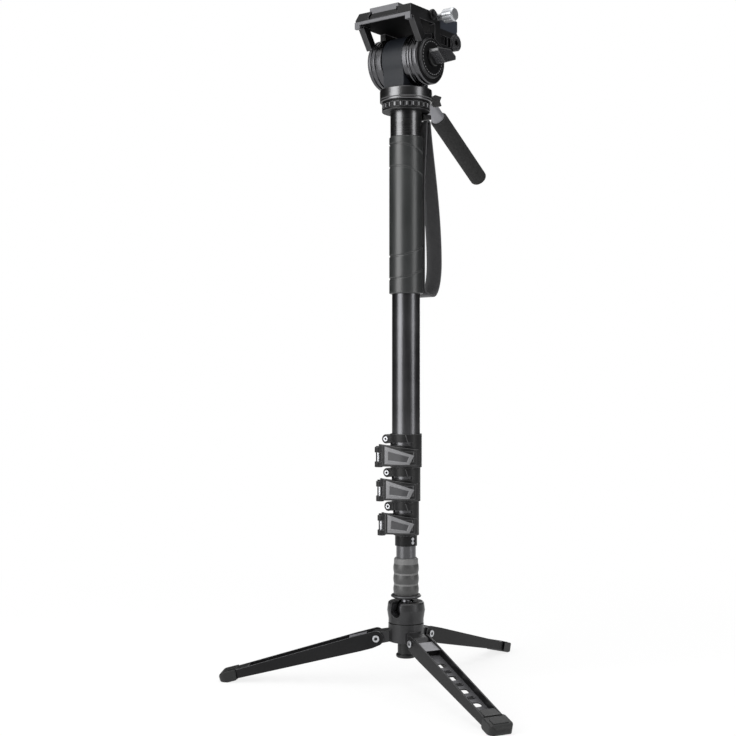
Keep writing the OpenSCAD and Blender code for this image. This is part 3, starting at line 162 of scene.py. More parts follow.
# Each finish by name: colour (a colour property or an sRGB hex), metallic, lowest and highest roughness,
# the grain's cell in mm (along X, Y and Z, or the same along all), its relief in mm, and what else
# grained() takes
FINISHES = {
    # Tube drawn through a die and dyed black: lines along its length draw the highlights out into soft
    # streaks. The real lines are about 0.1 mm apart, drawn here at 0.9 mm so that they show.
    "drawn_black_anodised_aluminium": ("tube", 1.0, (0.27, 0.35), (0.9, 0.9, 70), 0.008, {}),
    # Turned on a lathe about the column and dyed black: fine rings give broad upright highlights.
    "turned_black_anodised_aluminium": ("turned", 1.0, (0.26, 0.34), (30, 30, 0.8), 0.01, {}),
    # The same finish turned about the tilt axis, and smoother where the tool was finer.
    "side_turned_black_anodised_aluminium": ("rings", 1.0, (0.2, 0.29), (0.8, 30, 30), 0.01, {}),
    # Milled, bead blasted and dyed black: an even satin with a fine grain.
    "blasted_black_anodised_aluminium": ("milled", 0.0, (0.36, 0.48), 0.7, 0.02, {"specular": 0.18}),
    # Edge that handling has rubbed to a thinner dye: lighter and shinier than the faces. Its lighter grey is
    # also a painted highlight along the rounded edges.
    "bare_edge_black_anodised_aluminium": ("#4a4a4c", 0.6, (0.28, 0.38), 1.2, 0.01, {}),
    # Painted light on the rails' right rear: a blasted blue-grey that stands for the light falling on them
    # there, with a satin that lifts towards the light.
    "blasted_slate_anodised_aluminium": ("#2b2f37", 0.2, (0.36, 0.46), 0.7, 0.02, {}),
    # Die casting under a charcoal powder coat: low sheen with a fine orange peel. On the cradle it is painted
    # light, on the struts' front faces alone.
    "powder_coated_aluminium": ("coated", 0.7, (0.34, 0.44), 0.9, 0.03, {}),
    # Painted shade under the cradle: its undersides, which face the white floor, are painted matt and deep
    # black.
    "matt_black_anodised_aluminium": ("#060607", 0.0, (0.6, 0.75), 0.7, 0.02, {"specular": 0.03}),
    # Drum brushed round its axis and dyed blue-grey: upright brush lines in a broad soft sheen.
    "brushed_slate_anodised_aluminium": ("slate", 0.0, (0.38, 0.5), (0.7, 40, 40), 0.015, {"specular": 0.3}),
    # Bead blasted and dyed mid grey: pale, even and soft. The legs' bridge tops take it as painted light.
    "blasted_grey_anodised_aluminium": ("handle", 0.35, (0.38, 0.48), 0.7, 0.015, {"lift": 1.2}),
    # Painted light in a darker grey: on the camera plate's slab and the front trim it stands for a lamp's
    # reflection, on the legs' channel floors for the light on them.
    "blasted_dark_grey_anodised_aluminium": ("plate", 0.35, (0.36, 0.46), 0.7, 0.015, {"lift": 1.2}),
    # Turned and clear anodised: bright, with rings from the tool.
    "turned_silver_anodised_aluminium": ("silver", 0.75, (0.28, 0.36), (1.6, 20, 20), 0.001, {"lift": 1.15}),
    # Zinc plated screws: bright and slightly cloudy.
    "bright_zinc_plated_steel": ("steel", 0.9, (0.24, 0.36), 1.5, 0.004, {"lift": 1.2, "mottle": 4}),
    # Polished ball and stem under black chrome: a dark mirror, dulled by handling.
    "polished_black_chrome": ("#8a8a8e", 1.0, (0.3, 0.38), 3, 0.003, {"lift": 1.2}),
    # Glass-filled nylon from a spark-eroded mould: fine matt grain with a dull sheen.
    "moulded_black_nylon": ("nylon", 0.0, (0.38, 0.5), 0.8, 0.04, {"specular": 0.3}),
    # Moulded edges wear smooth in use; their lighter grey is a painted highlight, and the seam beads take it
    # too.
    "polished_edge_black_nylon": ("#343435", 0.0, (0.3, 0.4), 1.5, 0.02, {}),
    # The levers' pads: the same nylon in a lighter grey.
    "moulded_grey_nylon": ("pad", 0.0, (0.4, 0.52), 0.8, 0.04, {"lift": 1.25}),
    # Sunk panels of the pads: the same nylon in a darker grey.
    "moulded_dark_grey_nylon": ("panel", 0.0, (0.4, 0.52), 0.8, 0.04, {"lift": 1.25}),
    # Lever of the tilt lock: satin nylon that catches the light on its upper face.
    "satin_charcoal_nylon": ("lever", 0.0, (0.24, 0.32), 1.2, 0.01, {"specular": 1.0}),
    # Harder rubber of the boots and the centre foot: deep black with a dull sheen.
    "hard_black_rubber": ("boot", 0.0, (0.4, 0.52), 0.6, 0.02, {"specular": 0.35}),
    # Moulded rubber of the grip: soft broad highlights and a faint bloom.
    "moulded_black_rubber": ("rubber", 0.0, (0.34, 0.44), 0.6, 0.02, {"specular": 0.75}),
    # Grey moulded rubber of the ribbed sleeve: soft highlights along the ribs.
    "moulded_grey_rubber": ("ribbed", 0.0, (0.38, 0.48), 0.8, 0.02, {"lift": 1.2, "specular": 0.6}),
    # Painted highlight in the sleeve's valleys and on its top band: a paler rubber that stands for the light
    # they catch, flat and dry.
    "pale_moulded_rubber": ("bands", 0.0, (0.45, 0.55), 0.8, 0.03, {"lift": 1.15}),
    # Painted shade in the screws' sockets and the legs' blind slots: near black steel that stands for the
    # shade in these recesses, with a thin oily sheen.
    "black_oxide_steel": ("#161617", 0.4, (0.36, 0.5), 1, 0.01, {}),
    # Ink marks printed through a screen: flat, pale and slightly uneven.
    "screen_printed_ink": ("ink", 0.0, (0.5, 0.6), 0.5, 0.005, {"lift": 1.15, "mottle": 6}),
    # Rubber foam skin: small pits from the cells under the skin, and no gloss. The real pits are about 0.8 mm
    # across, drawn here at 1.1 mm so that they show.
    "closed_cell_foam": (
        "foam", 0.0, (0.75, 0.9), 1.1, 0.22, {"spread": 0.35, "lift": 1.7, "mottle": 3, "specular": 0.25},
    ),
    # Machined natural acetal: waxy off-white.
    "machined_natural_acetal": ("acetal", 0.0, (0.35, 0.45), 2, 0.01, {"lift": 1.05, "subsurface": 0.05}),
}


def add(tree, kind, settings=None, inputs=None):
    """Node of that kind in the tree, with its settings and its linked or constant inputs."""
    node = tree.nodes.new(kind)
    for name, value in (settings or {}).items():
        setattr(node, name, value)
    for name, value in (inputs or {}).items():
        socket = node.inputs[name]
        if isinstance(value, bpy.types.NodeSocket):
            tree.links.new(value, socket)
        else:
            socket.default_value = value
    return node


def bare_material(name):
    """New material with an empty node tree."""
    made = bpy.data.materials.new(name)
    made.use_nodes = True
    made.node_tree.nodes.clear()
    return made


def start_finish(name, base, metallic, roughness, sockets):
    """New material with its node tree, its Principled shader and the object's own coordinates."""
    made = bare_material(name)
    made.diffuse_color = base
    tree = made.node_tree
    shader = add(
        tree, "ShaderNodeBsdfPrincipled",
        inputs={"Base Color": base, "Metallic": metallic, "Roughness": roughness, **sockets},
    )
    add(tree, "ShaderNodeOutputMaterial", inputs={"Surface": shader.outputs["BSDF"]})
    place = add(tree, "ShaderNodeTexCoord").outputs["Object"]
    return made, tree, shader, place


def grained(
    name, base, metallic, roughness, cell, relief,
    spread=0.12, lift=1.5, mottle=45, specular=0.5, subsurface=0.0,
):
    """Finish with a grain of the given cell in mm, a relief in mm, and blotches of colour mottle mm across.

    roughness is (low, high), spread how far the grain darkens the colour, lift how much lighter it gets.
    """
    made, tree, shader, place = start_finish(
        name, base, metallic, sum(roughness) / 2,
        {"Specular IOR Level": specular, "Subsurface Weight": subsurface},
    )
    cells = cell if isinstance(cell, tuple) else (cell, cell, cell)
    scaled = add(
        tree, "ShaderNodeMapping",
        inputs={"Vector": place, "Scale": [1 / (size * MM) for size in cells]},
    )
    grain = add(
        tree, "ShaderNodeTexNoise",
        inputs={"Vector": scaled.outputs["Vector"], "Scale": 1.0, "Detail": 3.0, "Roughness": 0.6},
    )
    blotch = add(
        tree, "ShaderNodeTexNoise",
        inputs={"Vector": place, "Scale": 1 / (mottle * MM), "Detail": 4.0, "Roughness": 0.55},
    )
    both = add(
        tree, "ShaderNodeMath", {"operation": "MULTIPLY_ADD"},
        {0: grain.outputs["Fac"], 1: 0.6, 2: blotch.outputs["Fac"]},
    )
    # Grain and blotches together lie between about 0.5 and 1.1.
    span = {"Value": both.outputs["Value"], "From Min": 0.5, "From Max": 1.1}
    shade = add(tree, "ShaderNodeMapRange", inputs={**span, "To Min": 0, "To Max": 1})
    light = [min(1, part * lift + 0.002) for part in base[:3]] + [1]
    dark = [part * (1 - spread) for part in base[:3]] + [1]
    mixed = add(
        tree, "ShaderNodeMix", {"data_type": "RGBA"},
        {0: shade.outputs["Result"], 6: dark, 7: light},
    )
    tree.links.new(mixed.outputs[2], shader.inputs["Base Color"])
    rough = add(
        tree, "ShaderNodeMapRange",
        inputs={**span, "To Min": roughness[0], "To Max": roughness[1]},
    )
    tree.links.new(rough.outputs["Result"], shader.inputs["Roughness"])
    bump = add(
        tree, "ShaderNodeBump",
        inputs={"Height": grain.outputs["Fac"], "Distance": relief * MM, "Strength": 1.0},
    )
    tree.links.new(bump.outputs["Normal"], shader.inputs["Normal"])
    return made


def woven_nylon_webbing():
    # Flat woven nylon: cross ribs with yarns running along, and a soft sheen on the yarns' crowns.
    base = colours().webbing
    made, tree, shader, _ = start_finish(
        "woven_nylon_webbing", base, 0.0, 0.6,
        {"Specular IOR Level": 0.3, "Sheen Weight": 0.25, "Sheen Roughness": 0.5},
    )
    flat = add(tree, "ShaderNodeUVMap", {"uv_map": "flat"}).outputs["UV"]
    waves = []
    for way, spacing in (("X", sizes().yarn), ("Y", sizes().yarn * 0.8)):
        # A wave texture of scale 1 repeats every 0.314 m.
        wave = add(
            tree, "ShaderNodeTexWave", {"wave_type": "BANDS", "bands_direction": way},
            {"Vector": flat, "Scale": 0.314 / spacing, "Distortion": 0.0},
        )
        waves.append(wave.outputs["Fac"])
    weave = add(tree, "ShaderNodeMath", {"operation": "MULTIPLY"}, {0: waves[0], 1: waves[1]})
    # Loose fibres, about 1.1 mm apart
    fluff = add(
        tree, "ShaderNodeTexNoise",
        inputs={"Vector": flat, "Scale": 0.9 / MM, "Detail": 3.0, "Roughness": 0.6},
    )
    mixed = add(
        tree, "ShaderNodeMath", {"operation": "MULTIPLY_ADD"},
        {0: fluff.outputs["Fac"], 1: 0.4, 2: weave.outputs[0]},
    )
    dark = [part * 0.45 for part in base[:3]] + [1]
    light = [part * 1.5 for part in base[:3]] + [1]
    shade = add(tree, "ShaderNodeMix", {"data_type": "RGBA"}, {0: mixed.outputs[0], 6: dark, 7: light})
    tree.links.new(shade.outputs[2], shader.inputs["Base Color"])
    bump = add(
        tree, "ShaderNodeBump",
        inputs={"Height": mixed.outputs[0], "Distance": 0.25 * MM, "Strength": 0.8},
    )
    tree.links.new(bump.outputs["Normal"], shader.inputs["Normal"])
    return made


def finish(name):
    """Material of that name, made when a piece first asks for it."""
    found = bpy.data.materials.get(name)
    if found:
        return found
    if name == "woven_nylon_webbing":
        return woven_nylon_webbing()
    base, metallic, roughness, cell, relief, others = FINISHES[name]
    base = linear(base) if base.startswith("#") else getattr(colours(), base)
    return grained(name, base, metallic, roughness, cell, relief, **others)


def seen_rays(tree):
    """1 for rays that show the background: those of the camera, mirrored ones and those through glass."""
    path = add(tree, "ShaderNodeLightPath").outputs
    mirrored = add(
        tree, "ShaderNodeMath", {"operation": "MAXIMUM"},
        {0: path["Is Camera Ray"], 1: path["Is Glossy Ray"]},
    )
    seen = add(
        tree, "ShaderNodeMath", {"operation": "MAXIMUM"},
        {0: mirrored.outputs[0], 1: path["Is Transmission Ray"]},
    )
    return seen.outputs[0]


def turn_about(degrees, axis="Z"):
    """Turn about an axis."""
    return Matrix.Rotation(math.radians(degrees), 4, axis)


def shift(x, y, z):
    """Move by a distance in mm."""
    return Matrix.Translation(Vector((x, y, z)) * MM)


def box_mm(node):
    """Lowest and highest corner of a CAD node at rest, in mm."""
    return [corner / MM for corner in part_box(node)]


def eased(share):
    """Share from 0 to 1 that starts and ends softly."""
    return share * share * (3 - 2 * share)


def make_object(name, bm, *finishes):
    """New smooth-shaded object from a bmesh, with its finishes in slot order."""
    mesh = bpy.data.meshes.new(name)
    bm.normal_update()
    bm.to_mesh(mesh)
    bm.free()
    mesh.shade_smooth()
    for each in finishes:
        mesh.materials.append(finish(each))
    obj = bpy.data.objects.new(name, mesh)
    bpy.context.scene.collection.objects.link(obj)
    return obj


def soften(obj, width, angle=32, segments=2, edge_slot=-1):
    """Rounds the edges sharper than an angle, by a width in mm, and evens the normals on the flats."""
    if width:
        bevel = obj.modifiers.new("edges", "BEVEL")
        bevel.width = width * MM
        bevel.segments = segments
        bevel.limit_method = "ANGLE"
        bevel.angle_limit = math.radians(angle)
        bevel.use_clamp_overlap = False
        bevel.material = edge_slot
    normals = obj.modifiers.new("normals", "WEIGHTED_NORMAL")
    normals.keep_sharp = False
    normals.weight = 70
    return obj


def copy_of(node):
    """Bmesh of a CAD node, with its triangles merged back into faces."""
    bm = bmesh.new()
    bm.from_mesh(NODES[node].data)
    bmesh.ops.remove_doubles(bm, verts=bm.verts, dist=2e-6)
    bmesh.ops.dissolve_limit(
        bm, angle_limit=math.radians(0.5), use_dissolve_boundaries=False,
        verts=bm.verts, edges=bm.edges, delimit=set(),
    )
    return bm


def stand_for(obj, slot, *nodes):
    """The piece rides with the first of these CAD nodes and stands for all of them; the slot is not used."""
    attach(obj, NODES[nodes[0]]["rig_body"])
    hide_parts(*nodes)


def belongs(obj, node):
    """The extra piece rides with a CAD node."""
    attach(obj, NODES[node]["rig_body"])


def dress(node, slot, *finishes, edge=None, width=None, cuts=(), pick=None):
    """Copy of a CAD node with its edges rounded by a width in mm, standing for it.

    cuts are planes that part its faces, each a point in mm and a normal; pick(face) gives a face's finish.
    """
    bm = copy_of(node)
    for point, normal in cuts:
        everything = bm.verts[:] + bm.edges[:] + bm.faces[:]
        bmesh.ops.bisect_plane(bm, geom=everything, plane_co=Vector(point) * MM, plane_no=normal)
    bm.normal_update()
    if pick:
        for face in bm.faces:
            face.material_index = pick(face)
    slots = finishes if edge is None else (*finishes, edge)
    obj = make_object(node + "_dressed", bm, *slots)
    rounding = sizes().edge / MM if width is None else width
    soften(obj, rounding, edge_slot=-1 if edge is None else len(finishes))
    stand_for(obj, slot, node)


def in_sockets(places, radius, floor):
    """Picks the faces in round sockets, to paint the shade in them: places have Z out of each socket, and
    sizes are in mm.
    """
    inward = [place.inverted() for place in places]

    def pick(face):
        for turn in inward:
            spots = [turn @ corner.co / MM for corner in face.verts]
            if all(spot.xy.length < radius and spot.z > floor for spot in spots):
                return 1
        return 0

    return pick


def rounded(points, radius, steps=3):
    """Closed outline in mm with its corners rounded, apart from those on the axis."""
    result = []
    count = len(points)
    for i, here in enumerate(points):
        here = Vector(here)
        back = Vector(points[i - 1]) - here
        ahead = Vector(points[(i + 1) % count]) - here
        if here.x < 1e-6 or back.angle(ahead) > math.radians(165):
            result.append(here)
            continue
        cut = min(radius / math.tan(back.angle(ahead) / 2), 0.45 * back.length, 0.45 * ahead.length)
        start = here + back.normalized() * cut
        end = here + ahead.normalized() * cut
        for k in range(steps + 1):
            t = k / steps
            result.append(start * (1 - t) ** 2 + here * 2 * t * (1 - t) + end * t ** 2)
    return result


def lathe(outline, turns=96, place=None):
    """Bmesh turned about Z from a closed outline of (radius, height) in mm, then moved to its place."""
    bm = bmesh.new()
    rings = []
    for radius, height in outline:
        count = turns if radius > 1e-6 else 1
        rings.append([
            bm.verts.new((
                radius * MM * math.cos(2 * math.pi * k / turns),
                radius * MM * math.sin(2 * math.pi * k / turns),
                height * MM,
            ))
            for k in range(count)
        ])
    for lower, upper in zip(rings, rings[1:] + rings[:1]):
        for k in range(turns):
            corners = [
                lower[k % len(lower)], lower[(k + 1) % len(lower)],
                upper[(k + 1) % len(upper)], upper[k % len(upper)],
            ]
            corners = list(dict.fromkeys(corners))
            if len(corners) > 2:
                bm.faces.new(corners)
    bmesh.ops.recalc_face_normals(bm, faces=bm.faces)
    if place is not None:
        bmesh.ops.transform(bm, matrix=place, verts=bm.verts)
    return bm


def along_x(y, z):
    """Place of a piece turned about an axis along X, at a depth and a height in mm."""
    return shift(0, y, z) @ turn_about(90, "Y")


def skin(bm, rings):
    """Closed skin over rings of as many corners each."""
    sides = len(rings[0])
    for lower, upper in zip(rings, rings[1:]):
        for k in range(sides):
            bm.faces.new((lower[k], lower[(k + 1) % sides], upper[(k + 1) % sides], upper[k]))
    bm.faces.new(rings[0][::-1])
    bm.faces.new(rings[-1])


def thread(bm, points, radius, sides=6):
    """Closed round thread along points in metres, with its radius in mm, added to a bmesh."""
    rings = []
    for i, here in enumerate(points):
        way = (points[min(i + 1, len(points) - 1)] - points[max(i - 1, 0)]).normalized()
        across = way.orthogonal().normalized()
        other = way.cross(across)
        ring = []
        for k in range(sides):
            turn = 2 * math.pi * k / sides
            ring.append(bm.verts.new(here + radius * MM * (across * math.cos(turn) + other * math.sin(turn))))
        rings.append(ring)
    skin(bm, rings)


def loft(bm, rings):
    """Closed skin over rings of as many points each, added to a bmesh."""
    skin(bm, [[bm.verts.new(point) for point in ring] for ring in rings])
    bmesh.ops.recalc_face_normals(bm, faces=bm.faces)


def prism(outline, low, high):
    """Bmesh of an outline of (y, z) in mm, carried along X from low to high."""
    bm = bmesh.new()
    loft(bm, [[Vector((x, y, z)) * MM for y, z in outline] for x in (low, high)])
    return bm


def block(bm, corner_low, corner_high, place=Matrix()):
    """Box between two corners in mm, added to a bmesh at its place."""
    centre = (Vector(corner_low) + Vector(corner_high)) / 2 * MM
    size = (Vector(corner_high) - Vector(corner_low)) * MM
    matrix = place @ Matrix.Translation(centre) @ Matrix.Diagonal((*size, 1))
    bmesh.ops.create_cube(bm, size=1, matrix=matrix)


class MONOPOD_OT_stage(bpy.types.Operator):
    """Set the camera, the floor, the lamps, the world and the view settings"""

    bl_idname = "monopod.stage"
    bl_label = "Stage"

    # Camera at the photo's viewing angle: lens and sensor in mm, place in metres
    LENS, SENSOR = 59.36, 36
    CAMERA_AT = (0.7572, -1.0575, 0.3386)
    FLOOR_R, FLOOR_Z = 14, -0.0003
    # Share of plain white over the floor's shadow at the object, and where it grows to all white, in metres
    WHITE_NEAR = 0.82
    WHITE_FROM, WHITE_TO = 0.2, 0.9
    FLAG_R, FLAG_HEIGHT, FLAG_GLOW = 2.6, 2.2, 0.03
    WORLD_LIGHT = 0.4
    # Soft boxes left and right of the camera and behind: azimuth from the camera, height and distance of the
    # centre, width and height in metres, and power in watts
    BOXES = (
        ("left_box", -54, 0.7, 1.5, 1.0, 1.7, 25),
        ("right_box", 58, 0.55, 1.5, 0.5, 1.6, 9),
        ("back_box", 165, 0.6, 1.7, 0.5, 1.6, 6),
    )
    # The wide box overhead, and the point in metres that all the boxes face
    TOP_AT, TOP_SIDE, TOP_POWER = Vector((0.1, -0.25, 2.0)), 1.4, 14
    AIM = Vector((0, 0, 0.4))

    def execute(self, context):
        scene = context.scene
        scene.view_settings.view_transform = "Standard"
        self.camera(scene)
        self.floor()
        self.flags()
        for name, azimuth, height, away, wide, tall, power in self.BOXES:
            turn = math.radians(CAMERA_TURN + azimuth)
            centre = Vector((math.sin(turn) * away, -math.cos(turn) * away, height))
            self.lamp(scene, name, centre, wide, tall, power)
        self.lamp(scene, "top_box", self.TOP_AT, self.TOP_SIDE, self.TOP_SIDE, self.TOP_POWER)
        self.world(scene)
        return {"FINISHED"}

    def camera(self, scene):
        data = bpy.data.cameras.new("photo_camera")
        data.sensor_width = self.SENSOR
        data.lens = self.LENS
        data.clip_start = 0.05
        data.clip_end = 60
        camera = bpy.data.objects.new("photo_camera", data)
        camera.location = self.CAMERA_AT
        camera.rotation_euler = (math.radians(90), 0, math.radians(CAMERA_TURN))
        scene.collection.objects.link(camera)
        scene.camera = camera

    def floor(self):
        """White paper floor that keeps a faint shadow close to the object."""
        paper = bare_material("white_paper_floor")
        tree = paper.node_tree
        seen = seen_rays(tree)
        place = add(tree, "ShaderNodeTexCoord").outputs["Object"]
        away = add(tree, "ShaderNodeVectorMath", {"operation": "LENGTH"}, {0: place})
        far = add(
            tree, "ShaderNodeMapRange", {"interpolation_type": "SMOOTHSTEP"},
            {
                "Value": away.outputs["Value"], "From Min": self.WHITE_FROM, "From Max": self.WHITE_TO,
                "To Min": self.WHITE_NEAR, "To Max": 1,
            },
        )
        share = add(tree, "ShaderNodeMath", {"operation": "MULTIPLY"}, {0: seen, 1: far.outputs["Result"]})
        lit = add(tree, "ShaderNodeBsdfDiffuse", inputs={"Color": colours().floor})
        white = add(tree, "ShaderNodeEmission", inputs={"Color": colours().floor, "Strength": 1.0})
        mixed = add(
            tree, "ShaderNodeMixShader",
            inputs={0: share.outputs[0], 1: lit.outputs[0], 2: white.outputs[0]},
        )
        add(tree, "ShaderNodeOutputMaterial", inputs={"Surface": mixed.outputs[0]})
        bm = bmesh.new()
        bmesh.ops.create_circle(bm, cap_ends=True, radius=self.FLOOR_R, segments=64)
        floor = make_object("floor", bm)
        floor.data.materials.append(paper)
        floor.location.z = self.FLOOR_Z

    def flags(self):
        """Dark cloth round the set, met by mirrored rays alone: it gives the dark parts their dark sides."""
        cloth = bare_material("dark_flag_cloth")
        tree = cloth.node_tree
        light = {"Color": linear("#ffffff"), "Strength": self.FLAG_GLOW}
        glow = add(tree, "ShaderNodeEmission", inputs=light)
        add(tree, "ShaderNodeOutputMaterial", inputs={"Surface": glow.outputs[0]})
        bm = bmesh.new()
        bmesh.ops.create_cone(
            bm, cap_ends=False, radius1=self.FLAG_R, radius2=self.FLAG_R, depth=self.FLAG_HEIGHT, segments=64
        )
        bmesh.ops.translate(bm, verts=bm.verts, vec=(0, 0, self.FLAG_HEIGHT / 2))
        flags = make_object("flags", bm)
        flags.data.materials.append(cloth)
        flags.visible_camera = False
        flags.visible_diffuse = False
        flags.visible_transmission = False
        flags.visible_shadow = False

    def lamp(self, scene, name, centre, wide, tall, power):
        data = bpy.data.lights.new(name, "AREA")
        data.shape = "RECTANGLE"
        data.size = wide
        data.size_y = tall
        data.energy = power
        lamp = bpy.data.objects.new(name, data)
        lamp.location = centre
        lamp.rotation_euler = (self.AIM - centre).to_track_quat("-Z", "Y").to_euler()
        lamp.visible_camera = False
        scene.collection.objects.link(lamp)

    def world(self, scene):
        world = scene.world or bpy.data.worlds.new("studio")
        scene.world = world
        world.use_nodes = True
        tree = world.node_tree
        tree.nodes.clear()
        seen = seen_rays(tree)
        pale = colours().floor
        soft = add(tree, "ShaderNodeBackground", inputs={"Color": pale, "Strength": self.WORLD_LIGHT})
        white = add(tree, "ShaderNodeBackground", inputs={"Color": pale, "Strength": 1.0})
        mixed = add(tree, "ShaderNodeMixShader", inputs={0: seen, 1: soft.outputs[0], 2: white.outputs[0]})
        add(tree, "ShaderNodeOutputWorld", inputs={"Surface": mixed.outputs[0]})


class MONOPOD_OT_strap(bpy.types.Operator):
    """Weave the wrist strap along its route and sew its lap"""

    bl_idname = "monopod.strap"
    bl_label = "Wrist strap"

    # In the strap's own plane, as (distance from the column, height) in mm: the bar and the fold with their
    # radii, how far the fold's outer half rises, and where the run beside the grip starts to lean to the bar
    BAR, BAR_R = Vector((23.5, 602.45)), 2.6
    FOLD, FOLD_R, FOLD_RISE = Vector((31.3, 427.95)), 11.7, 36
    KNEE_Z = 562.85
    # How the outer run leaves the bar, and how it comes down to the fold
    LEAVE, ARRIVE = Vector((2, -28)), Vector((0, 60))
    # Slack twist of the run beside the grip: the distance and height in mm where it starts, and over how
    # many mm it grows
    TWIST = 11
    TWIST_BESIDE, TWIST_BELOW = (26, 6), (590, 60)
    # Lines across the webbing from its middle in mm, apart from its edges
    LINES = (0, 2.3, 4.6, 6.3, 8)
    EDGE_LINE = 0.5
    # Slot that lets the bar's post through: half width, outer end and lower end
    SLOT_HALF, SLOT_OUT, SLOT_LOW = 4.6, 24.3, 599.05
    LAP_FROM = 129
    # Stitches: length, radius of the thread, and distance from the lap's edges in mm
    STITCH, THREAD_R, INSET = 2.6, 0.28, 2.5

    def route(self):
        """Centre line in the strap's own plane."""
        points = []
        for k in range(25):
            a = math.pi * (1 - k / 24)
            points.append(self.BAR + self.BAR_R * Vector((math.cos(a), math.sin(a))))
        start = self.BAR + Vector((self.BAR_R, 0))
        bottom = self.FOLD - Vector((0, self.FOLD_R))
        end = bottom + Vector((self.FOLD_R, self.FOLD_RISE))
        bends = (start, start + self.LEAVE, end + self.ARRIVE, end)
        for k in range(1, 61):
            t = k / 60
            shares = ((1 - t) ** 3, 3 * (1 - t) ** 2 * t, 3 * (1 - t) * t * t, t ** 3)
            points.append(sum((bend * share for bend, share in zip(bends, shares)), Vector((0, 0))))
        for k in range(1, 25):
            a = -math.pi * k / 24
            rise = self.FOLD_RISE if k < 12 else self.FOLD_R
            points.append(bottom + Vector((self.FOLD_R * math.cos(a), rise * (1 + math.sin(a)))))
        low = points[-1]
        knee = Vector((low.x, self.KNEE_Z))
        top = self.BAR - Vector((self.BAR_R, 0))
        for a, b, count in ((low, knee, 44), (knee, top, 40)):
            points += [a.lerp(b, k / count) for k in range(1, count + 1)]
        return points[:-1]

    def spot(self, radial, across, height):
        """Point in the part's frame of a place in the strap's plane, in mm.

        The run beside the grip is twisted a little round it, as it hangs slack.
        """
        share = 1
        for place, (start, run) in ((radial, self.TWIST_BESIDE), (height, self.TWIST_BELOW)):
            share *= min(1, max(0, (start - place) / run))
        return turn_about(STRAP_TURN + self.TWIST * eased(share)) @ (Vector((radial, across, height)) * MM)

    def execute(self, context):
        route = self.route()
        count = len(route)
        half = sizes().strap_width / MM / 2
        thick = sizes().strap_thickness / MM
        lines = [*self.LINES, half - self.EDGE_LINE, half]
        across = [-line for line in lines[:0:-1]] + lines
        bm = bmesh.new()
        flat = bm.loops.layers.uv.new("flat")
        outward = []
        travel = [0.0]
        for i, here in enumerate(route):
            way = (route[(i + 1) % count] - route[i - 1]).normalized()
            outward.append(Vector((-way.y, way.x)))
            travel.append(travel[-1] + (route[(i + 1) % count] - here).length)

        def band(stations, offset, loop_shut):
            """Webbing past these stations; the loop that shuts has the slot in it."""
            rows = []
            for i in stations:
                place = route[i % count] + outward[i % count] * offset
                rows.append([bm.verts.new(self.spot(place.x, y, place.y)) for y in across])
            pairs = list(zip(range(len(rows)), range(1, len(rows))))
            if loop_shut:
                pairs.append((len(rows) - 1, 0))
            for lower, upper in pairs:
                middle = (route[stations[lower] % count] + route[stations[upper] % count]) / 2
                slotted = loop_shut and middle.x < self.SLOT_OUT and middle.y > self.SLOT_LOW
                for j in range(len(across) - 1):
                    if slotted and abs(across[j] + across[j + 1]) / 2 < self.SLOT_HALF:
                        continue
                    here, after = rows[lower], rows[upper]
                    face = bm.faces.new((here[j], here[j + 1], after[j + 1], after[j]))
                    start = travel[stations[lower]]
                    end = travel[stations[lower] + 1]
                    corners = ((j, start), (j + 1, start), (j + 1, end), (j, end))
                    for loop, (place, run) in zip(face.loops, corners):
                        loop[flat].uv = (across[place] * MM, run * MM)

        band(range(count), 0, True)
        lap_from = self.LAP_FROM
        lap_to = lap_from
        while travel[lap_to] - travel[lap_from] < sizes().strap_lap / MM:
            lap_to += 1
        band(range(lap_from, lap_to + 1), -thick * 1.02, False)
        loose = [v for v in bm.verts if not v.link_faces]
        bmesh.ops.delete(bm, geom=loose, context="VERTS")
        strap = make_object("wrist_strap_webbing", bm, "woven_nylon_webbing")
        solid = strap.modifiers.new("thickness", "SOLIDIFY")
        solid.thickness = thick * MM
        solid.offset = 0
        stand_for(soften(strap, 0.25, angle=50), "black_webbing", "wrist_strap")

        def on_lap(y, run):
            """Point on the lap's outer face."""
            i = max(k for k in range(count) if travel[k] <= run)
            share = (run - travel[i]) / (travel[i + 1] - travel[i])
            place = route[i].lerp(route[(i + 1) % count], share) - outward[i] * thick * 1.55
            return self.spot(place.x, y, place.y)

        side = half - self.INSET
        first, last = travel[lap_from] + self.INSET, travel[lap_to] - self.INSET
        corners = [(-side, first), (side, first), (side, last), (-side, last)]
        seams = [(corners[k], corners[(k + 1) % 4]) for k in range(4)]
        seams += [(corners[0], corners[2]), (corners[1], corners[3])]
        stitches = bmesh.new()
        for (y0, run0), (y1, run1) in seams:
            steps = max(2, round(math.hypot(y1 - y0, run1 - run0) / self.STITCH))
            for k in range(steps):
                ends = [(k + 0.12) / steps, (k + 0.5) / steps, (k + 0.88) / steps]
                points = [on_lap(y0 + (y1 - y0) * t, run0 + (run1 - run0) * t) for t in ends]
                thread(stitches, points, self.THREAD_R)
        sewn = make_object("wrist_strap_stitches", stitches, "woven_nylon_webbing")
        belongs(sewn, "wrist_strap")
        return {"FINISHED"}


